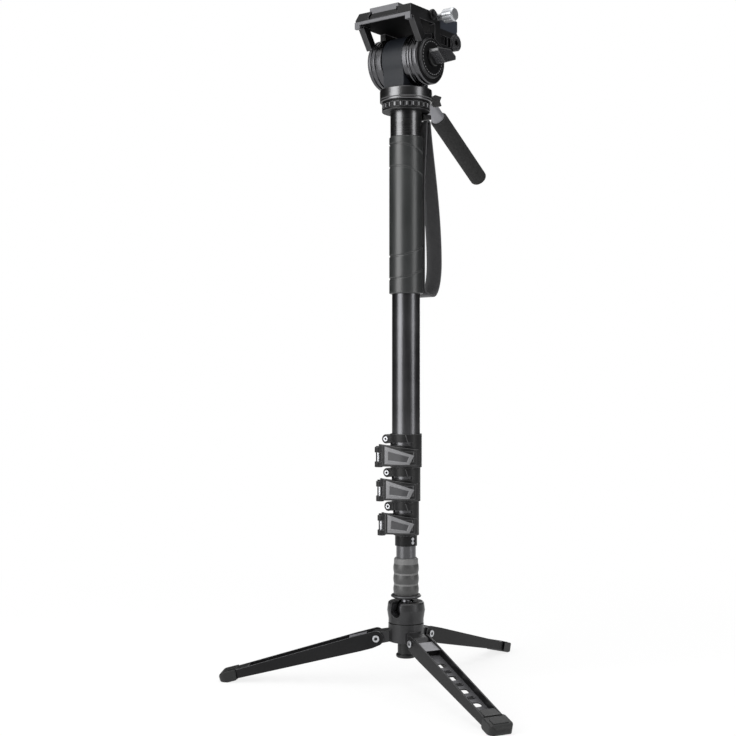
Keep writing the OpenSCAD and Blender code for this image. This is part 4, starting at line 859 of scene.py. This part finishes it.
class MONOPOD_OT_column(bpy.types.Operator):
    """Turn the column's tubes, the stop collar and the guides"""

    bl_idname = "monopod.column"
    bl_label = "Column tubes"

    WALL, RIM_R = 1.2, 0.3

    def execute(self, context):
        for n in (1, 2, 3, 4):
            node = f"tube_{n}"
            low, high = box_mm(node)
            bore = high.x - self.WALL
            outline = [(bore, low.z), (high.x, low.z), (high.x, high.z), (bore, high.z)]
            bm = lathe(rounded(outline, self.RIM_R), 128)
            tube = make_object(f"{node}_drawn", bm, "drawn_black_anodised_aluminium")
            stand_for(soften(tube, 0), "black_anodised_aluminium", node)
        dress(
            "stop_collar", "black_anodised_aluminium", "blasted_black_anodised_aluminium",
            edge="bare_edge_black_anodised_aluminium", width=0.25,
        )
        dress("stop_screws", "bright_steel", "bright_zinc_plated_steel", width=0.15)
        for n in (2, 3, 4):
            dress(f"tube_{n}_guide", "natural_acetal", "machined_natural_acetal")
        return {"FINISHED"}


class MONOPOD_OT_locks(bpy.types.Operator):
    """Mould the three flip locks: collars, levers with their pads, T-bolts and pinch screws"""

    bl_idname = "monopod.locks"
    bl_label = "Flip locks"

    TURN = 217
    COLLAR_WALL = 1.9
    # Front of a lever in mm: how far it stands off the collar, and its straight end past the collar and in Y
    LEVER_OFF, LEVER_END, LEVER_END_Y = 5.4, 8.4, 14.3
    # Pad on it, in mm: its left edge past the collar, its right edge low and high, its foot, and its top at
    # the left and at the right
    PAD_LEFT, PAD_RIGHT = 6.3, (-3.0, -8.3)
    PAD_FOOT, PAD_TOP = 3.9, (23.2, 13.7)
    # Height over which the border's rows are shared out, less than the pad's left edge, and the pad's back
    ROWS_LESS, PAD_BACK = 3.6, -0.6
    # How far in from the pad's edge each line of its border lies, and how far it stands up, in mm
    BORDER = ((0, 0), (0.3, 0.3), (3.1, 1.3), (3.5, 1.3), (3.9, 0.7))
    # Seam of a collar: its first X and Z in mm, how far it runs in each, and its radius
    SEAM_START, SEAM_RUN, SEAM_R = (0.9, 35), (-3.2, -10.5), 0.5
    # Pinch screw: turn from the lever, place past the collar and height, and the radius and floor of its
    # socket, where shade is painted
    PINCH_TURN, PINCH_OFF, PINCH_Z = -35, 5.4, 29.6
    SOCKET_R, SOCKET_FLOOR = 1.5, 5.9

    def place(self, n):
        """Place of a lock: X along its hinge ears, +Y towards its lever."""
        return Matrix.Translation((0, 0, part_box(f"lock_{n}_collar")[0].z)) @ turn_about(self.TURN)

    def radius(self, n):
        return box_mm(f"tube_{n}")[1].x + self.COLLAR_WALL

    def pad(self, n):
        """Grey pad on a lever's front, with a sloped border round a sunk bare panel."""
        collar = self.radius(n)
        outer = collar + self.LEVER_OFF
        start = Vector((collar + self.LEVER_END, self.LEVER_END_Y))
        touch = math.atan2(start.y, start.x) + math.acos(outer / start.length)
        bend = outer * Vector((math.cos(touch), math.sin(touch)))
        left = collar + self.PAD_LEFT
        right_low, right_high = self.PAD_RIGHT
        foot = self.PAD_FOOT
        top_left, top_right = self.PAD_TOP
        place = self.place(n)

        def spot(across, up, rise):
            x = left + (right_low + (right_high - right_low) * up - left) * across
            z = foot + (top_left + (top_right - top_left) * across - foot) * up
            if x > bend.x:
                front = bend.lerp(start, (x - bend.x) / (start.x - bend.x))
                out = bend.normalized()
            else:
                front = Vector((x, math.sqrt(outer * outer - x * x)))
                out = front.normalized()
            front = front + out * rise
            return place @ (Vector((front.x, front.y, z)) * MM)

        def shares(size, middle):
            ends = [inset / size for inset, _ in self.BORDER]
            inner = [ends[-1] + (1 - 2 * ends[-1]) * k / middle for k in range(1, middle)]
            return ends + inner + [1 - share for share in reversed(ends)]

        deepest = len(self.BORDER) - 1
        columns = shares(left - right_low, 14)
        rows = shares(top_left - foot - self.ROWS_LESS, 4)
        end_i = len(columns) - 1
        end_j = len(rows) - 1
        bm = bmesh.new()
        front = []
        back = []
        for j, up in enumerate(rows):
            front.append([])
            back.append([])
            for i, across in enumerate(columns):
                step = min(i, end_i - i, j, end_j - j, deepest)
                front[-1].append((bm.verts.new(spot(across, up, self.BORDER[step][1])), step))
                back[-1].append(bm.verts.new(spot(across, up, self.PAD_BACK)))
        for j in range(end_j):
            for i in range(end_i):
                corners = [front[j][i], front[j][i + 1], front[j + 1][i + 1], front[j + 1][i]]
                face = bm.faces.new([corner for corner, _ in corners])
                face.material_index = int(all(step == deepest for _, step in corners))
                bm.faces.new((back[j][i], back[j + 1][i], back[j + 1][i + 1], back[j][i + 1]))
        rim = [(0, i) for i in range(end_i)] + [(j, end_i) for j in range(end_j)]
        rim += [(end_j, i) for i in range(end_i, 0, -1)] + [(j, 0) for j in range(end_j, 0, -1)]
        for (j0, i0), (j1, i1) in zip(rim, rim[1:] + rim[:1]):
            bm.faces.new((front[j0][i0][0], back[j0][i0], back[j1][i1], front[j1][i1][0]))
        bmesh.ops.recalc_face_normals(bm, faces=bm.faces)
        pad = make_object(f"lock_{n}_pad", bm, "moulded_grey_nylon", "moulded_dark_grey_nylon")
        belongs(soften(pad, 0.15, angle=12), f"lock_{n}_lever")

    def seam(self, n):
        """Slanted bead where the collar's mould parted, in a lighter nylon that paints a highlight along it.
        """
        front = self.radius(n) + 0.1
        points = []
        for k in range(9):
            x, z = (start + run * k / 8 for start, run in zip(self.SEAM_START, self.SEAM_RUN))
            points.append(self.place(n) @ (Vector((x, math.sqrt(front ** 2 - x * x), z)) * MM))
        bm = bmesh.new()
        thread(bm, points, self.SEAM_R, 8)
        bead = make_object(f"lock_{n}_seam", bm, "polished_edge_black_nylon")
        belongs(bead, f"lock_{n}_collar")

    def execute(self, context):
        steel = "bright_zinc_plated_steel"
        for n in (1, 2, 3):
            for piece, width in (("collar", 0.4), ("lever", 0.5)):
                dress(
                    f"lock_{n}_{piece}", "black_nylon", "moulded_black_nylon",
                    edge="polished_edge_black_nylon", width=width,
                )
            self.pad(n)
            self.seam(n)
            dress(f"lock_{n}_bolt", "bright_steel", steel)
            pinch = (
                self.place(n) @ turn_about(self.PINCH_TURN)
                @ shift(self.radius(n) + self.PINCH_OFF, 0, self.PINCH_Z) @ turn_about(-90, "X")
            )
            # The screw's socket is painted dark as its shade.
            dress(
                f"lock_{n}_screw", "bright_steel", steel, "black_oxide_steel", width=0.25,
                pick=in_sockets([pinch], self.SOCKET_R, self.SOCKET_FLOOR),
            )
        return {"FINISHED"}


class MONOPOD_OT_grip(bpy.types.Operator):
    """Mould the rubber grip with its curved grooves, and dress the cap above it"""

    bl_idname = "monopod.grip"
    bl_label = "Grip and cap"

    TURNS = 192
    # Heights of the grooves above the grip's lower end in mm, and which way each one bends
    GROOVES = ((16, 1), (40, 1), (135, -1), (159, -1))
    BEND = 13
    # Azimuths between which the grooves bend away and come back
    BEND_FROM, BEND_TO, BEND_BACK = -88, 72, 182
    # Rounding of the grip's rims and the grooves' lips, as steps in mm
    RIM, RIM_STEP = 0.8, 0.25
    LIP, LIP_SUNK = 0.25, 0.12
    # Clearance on the tube, where the cap's arms start outside it, and the hood's corners, in mm
    CLEAR, ARMS_OFF = 0.05, 2.2
    HOOD = ((15.8, -11, 606.6), (28, 11, 611.9))

    def bend(self, azimuth):
        """How far a groove has bent at an azimuth, in mm."""
        away = (azimuth - self.BEND_FROM) % 360
        rise = self.BEND_TO - self.BEND_FROM
        fall = self.BEND_BACK - self.BEND_TO
        share = away / rise if away < rise else max(0, 1 - (away - rise) / fall)
        return self.BEND * eased(share)

    def column(self, azimuth, low, high, bore, outer):
        """Outline of the grip at one azimuth, as (radius, height) in mm from its inner lower corner."""
        half = sizes().groove_width / MM / 2
        depth = sizes().groove_depth / MM
        rim = ((self.RIM, 0), (self.RIM_STEP, self.RIM_STEP), (0, self.RIM))
        side = ((half + self.LIP, 0), (half, self.LIP_SUNK), (half - self.LIP, depth))
        groove = [(-step, -sunk) for step, sunk in side] + [(step, -sunk) for step, sunk in reversed(side)]
        points = [(bore, low)] + [(outer - inset, low + up) for inset, up in rim]
        last = low + self.RIM
        for at, way in self.GROOVES:
            centre = low + at + way * self.bend(azimuth)
            first = centre + groove[0][0]
            points += [(outer, last + (first - last) * k / 7) for k in range(1, 7)]
            points += [(outer + sunk, centre + step) for step, sunk in groove]
            last = centre + groove[-1][0]
        points += [(outer, last + (high - self.RIM - last) * k / 7) for k in range(1, 7)]
        return points + [(outer - inset, high - down) for inset, down in reversed(rim)] + [(bore, high)]

    def execute(self, context):
        low, high = box_mm("grip_sleeve")
        tube_r = box_mm("tube_1")[1].x
        bm = bmesh.new()
        columns = []
        for k in range(self.TURNS):
            azimuth = 360 * k / self.TURNS
            turn = math.radians(azimuth)
            columns.append([
                bm.verts.new(Vector((radius * math.cos(turn), radius * math.sin(turn), height)) * MM)
                for radius, height in self.column(azimuth, low.z, high.z, tube_r + self.CLEAR, high.x)
            ])
        for here, after in zip(columns, columns[1:] + columns[:1]):
            for j in range(len(here)):
                upper = (j + 1) % len(here)
                bm.faces.new((here[j], after[j], after[upper], here[upper]))
        bmesh.ops.recalc_face_normals(bm, faces=bm.faces)
        grip = make_object("grip_sleeve_moulded", bm, "moulded_black_rubber")
        stand_for(soften(grip, 0), "black_rubber", "grip_sleeve")
        arms = (tube_r + self.ARMS_OFF) * MM
        dress(
            "top_cap", "charcoal_aluminium",
            "turned_black_anodised_aluminium", "blasted_black_anodised_aluminium",
            width=0.4, pick=lambda face: int(max(corner.co.xy.length for corner in face.verts) > arms),
        )
        bm = bmesh.new()
        block(bm, *self.HOOD, turn_about(STRAP_TURN))
        hood = make_object("strap_bar_hood", bm, "moulded_black_nylon")
        belongs(soften(hood, 1.2, segments=3), "top_cap")
        dress("head_stud", "bright_steel", "bright_zinc_plated_steel")
        return {"FINISHED"}


class MONOPOD_OT_base(bpy.types.Operator):
    """Dress the hub, the ball joint, the lock sleeve and the centre foot"""

    bl_idname = "monopod.base"
    bl_label = "Base"

    # In mm: depth below the sleeve's ribs where the painted highlight of the valleys starts, and radius and
    # floor of the leg pins' sockets, where shade is painted
    BAND_DEPTH = 0.58
    SOCKET_R, SOCKET_FLOOR = 1.95, 11.4

    def execute(self, context):
        coat = "powder_coated_aluminium"
        steel = "bright_zinc_plated_steel"
        dress("base_hub", "charcoal_aluminium", coat, width=0.5)
        dress("ball_housing", "charcoal_aluminium", coat, width=0.5)
        dress("lock_sleeve", "charcoal_aluminium", coat, edge="bare_edge_black_anodised_aluminium", width=0.3)
        # Faces below the ribs' depth take the painted highlight.
        bands = (box_mm("sleeve_grip")[1].x - self.BAND_DEPTH) * MM
        dress(
            "sleeve_grip", "grey_rubber", "moulded_grey_rubber", "pale_moulded_rubber", width=0,
            pick=lambda face: int(face.calc_center_median().xy.length < bands),
        )
        dress("centre_foot", "black_rubber", "hard_black_rubber")
        dress("ball_stem", "black_anodised_aluminium", "polished_black_chrome")
        sockets = []
        for azimuth in LEG_AZIMUTHS.values():
            pivot = turn_about(azimuth) @ shift(*LEG_PIVOT)
            sockets += [pivot @ turn_about(turn, "X") for turn in (90, -90)]
        # Shade is painted in the pins' sockets.
        dress(
            "leg_pins", "bright_steel", steel, "black_oxide_steel", width=0.3,
            pick=in_sockets(sockets, self.SOCKET_R, self.SOCKET_FLOOR),
        )
        dress("foot_stud", "bright_steel", steel)
        dress("swivel_screw", "bright_steel", steel)
        dress("swivel_bush", "natural_acetal", "machined_natural_acetal", width=0.2)
        for node in ("lower_ball_seat", "upper_ball_seat"):
            dress(node, "black_nylon", "moulded_black_nylon", width=0.2)
        return {"FINISHED"}


class MONOPOD_OT_legs(bpy.types.Operator):
    """Dress the three folding legs and their boots"""

    bl_idname = "monopod.legs"
    bl_label = "Legs"

    SLOPE = 15.26
    # In a leg's own frame, in mm: the bridge and its lowest top, where light is painted on its top, the slots
    # with their depths below the channel's floor, where shade is painted, the floor's height at two places,
    # where light is painted, and half the width inside
    BRIDGE, BRIDGE_TOP = (9.9, 29.6), 5
    SLOTS, SLOT_DEPTHS = (44, 130), (0.5, 1.3)
    FLOOR, FLOOR_OFF = ((20, 0.7), (169.7, -3.1)), 0.3
    INNER_HALF = 8.65
    # Raised panel on a boot: its rounded start, its straight sides, its end and its half width
    PANEL = (158.6, 164, 170.6, 8.4)
    BOOT_TOP, PANEL_SUNK, PANEL_RISE = 5.2, 0.6, 0.5

    def channel_finish(self, place):
        """Pick for the faces in a leg's channel: painted light on the bridge's top and on the floor, painted
        shade in the slots, and black elsewhere.
        """
        inward = place.inverted()
        (x0, z0), (x1, z1) = self.FLOOR

        def pick(face):
            spot = inward @ face.calc_center_median() / MM
            way = (inward.to_3x3() @ face.normal).z
            if way < 0.7 or abs(spot.y) > self.INNER_HALF:
                return 0
            # Upward faces of the bridge: painted light.
            if self.BRIDGE[0] < spot.x < self.BRIDGE[1] and spot.z > self.BRIDGE_TOP:
                return 1
            sunk = z0 + (z1 - z0) * (spot.x - x0) / (x1 - x0) - spot.z
            # Floors of the slots: painted shade.
            if self.SLOTS[0] < spot.x < self.SLOTS[1] and self.SLOT_DEPTHS[0] < sunk < self.SLOT_DEPTHS[1]:
                return 2
            # Upward faces of the channel's floor: painted light, in grey.
            return 3 if abs(sunk) < self.FLOOR_OFF and spot.x > self.BRIDGE[1] else 0

        return pick

    def boot_panel(self, side, place):
        """Raised panel on a boot's top, round towards the hub."""
        start, straight, end, half = self.PANEL
        outline = [(end, -half), (end, half)]
        for k in range(17):
            turn = math.radians(90 + 180 * k / 16)
            outline.append((straight + (straight - start) * math.cos(turn), half * math.sin(turn)))
        heights = (self.BOOT_TOP - self.PANEL_SUNK, self.BOOT_TOP + self.PANEL_RISE)
        bm = bmesh.new()
        loft(bm, [[place @ (Vector((x, y, z)) * MM) for x, y in outline] for z in heights])
        panel = make_object(f"{side}_boot_panel", bm, "hard_black_rubber")
        belongs(soften(panel, 0.25), f"{side}_boot")

    def execute(self, context):
        for side, azimuth in LEG_AZIMUTHS.items():
            place = turn_about(azimuth) @ shift(*LEG_PIVOT) @ turn_about(self.SLOPE, "Y")
            dress(
                f"{side}_leg", "black_anodised_aluminium",
                "blasted_black_anodised_aluminium", "blasted_grey_anodised_aluminium",
                "black_oxide_steel", "blasted_dark_grey_anodised_aluminium",
                edge="bare_edge_black_anodised_aluminium", width=0.3, pick=self.channel_finish(place),
            )
            dress(f"{side}_boot", "black_rubber", "hard_black_rubber", width=0.8)
            self.boot_panel(side, place)
        return {"FINISHED"}


class MONOPOD_OT_head(bpy.types.Operator):
    """Dress the index ring, the pan disc, the head body and the drag rings"""

    bl_idname = "monopod.head"
    bl_label = "Head"

    # Index marks: their count, every which one is wide, and in mm their half widths, their heights above the
    # ring's foot, and how far they are sunk and stand out
    MARKS, WIDE_EVERY = 24, 6
    MARK_HALF, WIDE_HALF = 0.5, 0.95
    MARK_HEIGHTS, MARK_SUNK, MARK_RISE = (3, 7), 0.2, 0.1
    # Drum: how far round its circle runs before the sweep starts, and the sweep's bend, end and foot, as how
    # far inside the drum's radius and below its axis they lie, in mm
    ROUND = 112
    SWEEP_BEND, SWEEP_END, FOOT_IN = (3.9, 14.9), (3.9, 22.5), 3.4

    def index_marks(self):
        """Printed mark on each land of the index ring, wider at every sixth."""
        low, high = box_mm("index_ring")
        z0, z1 = (low.z + height for height in self.MARK_HEIGHTS)
        bm = bmesh.new()
        for k in range(self.MARKS):
            half = self.MARK_HALF if k % self.WIDE_EVERY else self.WIDE_HALF
            turn = turn_about(360 / self.MARKS * (k + 0.5))
            block(bm, (high.x - self.MARK_SUNK, -half, z0), (high.x + self.MARK_RISE, half, z1), turn)
        marks = make_object("index_marks", bm, "screen_printed_ink")
        belongs(soften(marks, 0.05), "index_ring")

    def drum(self):
        """Drum that runs down into its pedestal in one sweep, between the drag rings."""
        low, high = box_mm("head_body")
        radius = high.y
        axis = high.z - radius
        half = []
        for k in range(45):
            turn = math.radians(90 - self.ROUND * k / 44)
            half.append(Vector((radius * math.cos(turn), axis + radius * math.sin(turn))))
        start = half[-1]
        sweep = (self.SWEEP_BEND, self.SWEEP_END)
        bend, end = (Vector((radius - inside, axis - below)) for inside, below in sweep)
        for k in range(1, 9):
            t = k / 8
            half.append(start * (1 - t) ** 2 + bend * 2 * t * (1 - t) + end * t * t)
        half.append(Vector((radius - self.FOOT_IN, low.z)))
        outline = half + [Vector((-point.x, point.y)) for point in reversed(half[1:])]
        bm = prism(outline, low.x, high.x)
        drum = make_object("head_body_brushed", bm, "brushed_slate_anodised_aluminium")
        stand_for(soften(drum, 0.4), "slate_aluminium", "head_body")

    def execute(self, context):
        dress(
            "index_ring", "black_anodised_aluminium", "blasted_black_anodised_aluminium",
            edge="bare_edge_black_anodised_aluminium", width=0.3,
        )
        self.index_marks()
        dress("pan_disc", "black_anodised_aluminium", "turned_black_anodised_aluminium", width=0.25)
        self.drum()
        dress("drag_rings", "black_anodised_aluminium", "side_turned_black_anodised_aluminium", width=0.2)
        dress("tilt_shaft", "bright_steel", "bright_zinc_plated_steel")
        return {"FINISHED"}


class MONOPOD_OT_cradle(bpy.types.Operator):
    """Dress the tilting cradle, its trim, the clamp and the camera plate"""

    bl_idname = "monopod.cradle"
    bl_label = "Cradle and plate"

    # Parts of the cradle with a finish of their own, in mm: the hubs' reach along X and radius, the rails'
    # rear from X, Y and Z on, where light is painted, the undersides from Z up, where shade is painted, and
    # the struts' front up to Y and Z, where light is painted
    HUB_X, HUB_R = 32, 27.2
    RAIL_X, RAIL_Y, RAIL_Z = 35.9, 12, 699
    UNDER_Z = 690
    STRUT_Y, STRUT_Z = -8, 701
    # Right rosette: its centre, and its teeth's radii
    ROSETTE, TEETH_R = (37.5, 41.5, 689.45), (4.0, 8.3)
    # Dashes on the end cap: their count, and the corners of one, about the tilt axis
    DASHES = 30
    DASH = ((34.2, -0.9, 16.9), (34.4, 0.9, 17.6))
    # Boss round the button: its outline, as (radius, X), and its axis in Y and Z
    BOSS = ((3.4, 36), (5.6, 36), (5.6, 38.8), (3.4, 38.8))
    BUTTON_AXIS = (-4, 709.75)
    # Camera plate: where its grey slab starts and ends, the grey being a painted reflection, and its pads:
    # across, along, half their thickness, and their ribs' top, count, start, pitch and width
    SLAB_Z, PLATE_TOP = 711.4, 717.55
    PAD_X, PAD_Y, PAD_HALF, RIB_TOP = (4.5, 16.5), (-37, 35), 0.3, 0.8
    RIBS, RIB_FROM, RIB_PITCH, RIB_WIDTH = 24, -36, 3, 1.6

    def cradle_finish(self, face):
        """Turned hubs, painted light on the rails' right rear and on the struts' front faces, painted shade
        on the undersides, and black elsewhere.
        """
        spot = face.calc_center_median() / MM
        on_hub = abs(spot.x) < self.HUB_X and math.hypot(spot.y, spot.z - TILT_Z) < self.HUB_R
        if on_hub and abs(face.normal.x) < 0.9:
            return 1
        # The rails' right rear: painted light.
        if spot.x > self.RAIL_X and spot.y > self.RAIL_Y and spot.z > self.RAIL_Z:
            return 2
        # Undersides: painted shade.
        if face.normal.z < -0.7 and spot.z > self.UNDER_Z:
            return 4
        # Front faces of the struts: painted light.
        return 3 if face.normal.y < -0.5 and spot.z < self.STRUT_Z and spot.y < self.STRUT_Y else 0

    def rosette(self):
        """Radial teeth on the vacant right rosette."""
        count = sizes().teeth
        rises = (-0.05, sizes().rosette_tooth / MM, -0.05)
        place = shift(*self.ROSETTE)
        bm = bmesh.new()
        for k in range(count):
            turns = [math.radians(360 * (k + step) / count) for step in (0.05, 0.5, 0.95)]
            loft(bm, [
                [
                    place @ (Vector((rise, radius * math.cos(turn), radius * math.sin(turn))) * MM)
                    for turn, rise in zip(turns, rises)
                ]
                for radius in self.TEETH_R
            ])
        # The teeth take the edges' worn grey, which is partly a painted highlight.
        teeth = make_object("right_rosette_teeth", bm, "bare_edge_black_anodised_aluminium")
        belongs(soften(teeth, 0), "cradle")

    def end_marks(self):
        """Ring of printed dashes on the right end cap, round the tilt lock."""
        bm = bmesh.new()
        for k in range(self.DASHES):
            block(bm, *self.DASH, shift(0, 0, TILT_Z) @ turn_about(360 / self.DASHES * k, "X"))
        marks = make_object("end_cap_marks", bm, "screen_printed_ink")
        belongs(soften(marks, 0.04), "cradle")

    def button_boss(self):
        """Black collar round the safety button."""
        bm = lathe(rounded(self.BOSS, 0.5), 48, along_x(*self.BUTTON_AXIS))
        boss = make_object("button_boss", bm, "moulded_black_nylon")
        belongs(soften(boss, 0), "cradle")

    def plate_pads(self):
        """Two ribbed rubber strips on the camera plate."""
        low, foot, top = (self.PLATE_TOP + rise for rise in (-self.PAD_HALF, self.PAD_HALF, self.RIB_TOP))
        bm = bmesh.new()
        for side in (-1, 1):
            near, far = sorted(side * x for x in self.PAD_X)
            block(bm, (near, self.PAD_Y[0], low), (far, self.PAD_Y[1], foot))
            for k in range(self.RIBS):
                start = self.RIB_FROM + self.RIB_PITCH * k
                block(bm, (near, start, foot), (far, start + self.RIB_WIDTH, top))
        pads = make_object("plate_pads", bm, "moulded_black_rubber")
        belongs(soften(pads, 0.15), "camera_plate")

    def execute(self, context):
        black = "blasted_black_anodised_aluminium"
        # The darker grey is a painted reflection, on the front trim and on the plate's slab.
        grey = "blasted_dark_grey_anodised_aluminium"
        dress(
            "cradle", "black_anodised_aluminium", black, "side_turned_black_anodised_aluminium",
            "blasted_slate_anodised_aluminium", "powder_coated_aluminium", "matt_black_anodised_aluminium",
            edge="bare_edge_black_anodised_aluminium", width=0.3, pick=self.cradle_finish,
            cuts=(((0, self.RAIL_Y, 0), (0, 1, 0)), ((0, 0, self.RAIL_Z), (0, 0, 1))),
        )
        self.rosette()
        self.end_marks()
        self.button_boss()
        dress("front_trim", "silver_aluminium", grey, width=0.25)
        dress("clamp_jaw", "charcoal_aluminium", black)
        # The slab above the cut takes the painted reflection.
        slab = (self.SLAB_Z + 0.2) * MM
        dress(
            "camera_plate", "charcoal_aluminium", black, grey, width=0.3,
            cuts=(((0, 0, self.SLAB_Z), (0, 0, 1)),),
            pick=lambda face: int(face.calc_center_median().z > slab),
        )
        self.plate_pads()
        dress("camera_screw", "bright_steel", "bright_zinc_plated_steel", width=0.2)
        return {"FINISHED"}


class MONOPOD_OT_knobs(bpy.types.Operator):
    """Make the knobs, the locks of the head and the safety button"""

    bl_idname = "monopod.knobs"
    bl_label = "Knobs"

    # Tilt lock: its side outline about the tilt axis, as (y, z) in mm, its ends along X, and its root's
    # outline, as (radius, X)
    TILT_OUTLINE = ((-10.5, 3.4), (-10.5, 7), (13, 9.6), (23, 4.4), (23, 0.4), (2.8, -6.6))
    TILT_X = (36.8, 48.8)
    ROOT = ((0, 34.7), (9, 34.7), (9, 37), (8, 38), (0, 38))
    # Plate lock knob: its axis in Y and Z, and its stations along X in mm: place, radius and depth of the
    # flutes
    PLATE_AXIS = (8, 709.45)
    PLATE_STATIONS = (
        (29.5, 2.7, 0), (36.3, 2.7, 0), (36.4, 3.6, 0), (39.5, 3.6, 0), (43.8, 5.4, 0), (44.3, 6.5, 0),
        (44.9, 7.3, 0.7), (56.0, 7.3, 0.7), (56.1, 7.2, 0), (57.5, 6.1, 0),
    )
    # Flutes round the knob, and how deep each column of one is
    FLUTES = 10
    FLUTE = (0, 0, 0, 0, 0.25, 1, 0.25, 0, 0, 0)

    def tilt_knob(self):
        """Wedge-nosed lock lever on the right end of the tilt axis, and its round root."""
        outline = [(y, TILT_Z + z) for y, z in self.TILT_OUTLINE]
        bm = prism(outline, *self.TILT_X)
        knob = make_object("tilt_knob_moulded", bm, "satin_charcoal_nylon", "polished_edge_black_nylon")
        stand_for(soften(knob, 0.7, edge_slot=1), "black_nylon", "tilt_knob")
        bm = lathe(rounded(self.ROOT, 0.4), 64, along_x(0, TILT_Z))
        root = make_object("tilt_knob_root", bm, "moulded_black_nylon")
        belongs(soften(root, 0), "tilt_knob")

    def plate_knob(self):
        """Fluted bright knob of the camera plate's clamp, on its cone and stem."""
        y, z = self.PLATE_AXIS
        depths = self.FLUTE * self.FLUTES
        rings = []
        for x, radius, deepest in self.PLATE_STATIONS:
            ring = []
            for k, depth in enumerate(depths):
                out = radius - deepest * depth
                turn = 2 * math.pi * k / len(depths)
                ring.append(Vector((x, y + out * math.cos(turn), z + out * math.sin(turn))) * MM)
            rings.append(ring)
        bm = bmesh.new()
        loft(bm, rings)
        knob = make_object("plate_knob_fluted", bm, "turned_silver_anodised_aluminium")
        stand_for(soften(knob, 0.12, angle=40), "silver_aluminium", "plate_knob")

    def execute(self, context):
        dress("pan_knob", "black_nylon", "moulded_black_nylon", width=0.6)
        self.tilt_knob()
        self.plate_knob()
        dress("safety_button", "black_anodised_aluminium", "blasted_black_anodised_aluminium", width=0.5)
        dress("handle_knob", "black_nylon", "moulded_black_nylon", width=0.6)
        return {"FINISHED"}


class MONOPOD_OT_handle(bpy.types.Operator):
    """Dress the pan handle and its foam grip"""

    bl_idname = "monopod.handle"
    bl_label = "Pan handle"

    def execute(self, context):
        dress("handle_arm", "grey_aluminium", "blasted_grey_anodised_aluminium", width=0.4)
        dress("handle_grip", "black_rubber", "closed_cell_foam", width=0.5)
        return {"FINISHED"}


STEPS = (
    MONOPOD_OT_stage, MONOPOD_OT_strap, MONOPOD_OT_column, MONOPOD_OT_locks, MONOPOD_OT_grip, MONOPOD_OT_base,
    MONOPOD_OT_legs, MONOPOD_OT_head, MONOPOD_OT_cradle, MONOPOD_OT_knobs, MONOPOD_OT_handle,
)


class MONOPOD_PT_panel(bpy.types.Panel):
    """Lists the monopod's colours, sizes and steps"""

    bl_idname = "MONOPOD_PT_panel"
    bl_label = "Monopod"
    bl_space_type = "VIEW_3D"
    bl_region_type = "UI"
    bl_category = "Monopod"

    def draw(self, context):
        for group in (context.scene.monopod_colours, context.scene.monopod_sizes):
            box = self.layout.box()
            for name in group.__annotations__:
                box.prop(group, name)
        for step in STEPS:
            self.layout.operator(step.bl_idname)


CLASSES = (MonopodColours, MonopodSizes, *STEPS, MONOPOD_PT_panel)


def register():
    for cls in CLASSES:
        bpy.utils.register_class(cls)
    bpy.types.Scene.monopod_colours = PointerProperty(type=MonopodColours)
    bpy.types.Scene.monopod_sizes = PointerProperty(type=MonopodSizes)


def unregister():
    del bpy.types.Scene.monopod_sizes
    del bpy.types.Scene.monopod_colours
    for cls in reversed(CLASSES):
        bpy.utils.unregister_class(cls)


def main():
    register()
    bpy.ops.monopod.stage()
    bpy.ops.monopod.strap()
    bpy.ops.monopod.column()
    bpy.ops.monopod.locks()
    bpy.ops.monopod.grip()
    bpy.ops.monopod.base()
    bpy.ops.monopod.legs()
    bpy.ops.monopod.head()
    bpy.ops.monopod.cradle()
    bpy.ops.monopod.knobs()
    bpy.ops.monopod.handle()


if __name__ == "__main__":
    main()
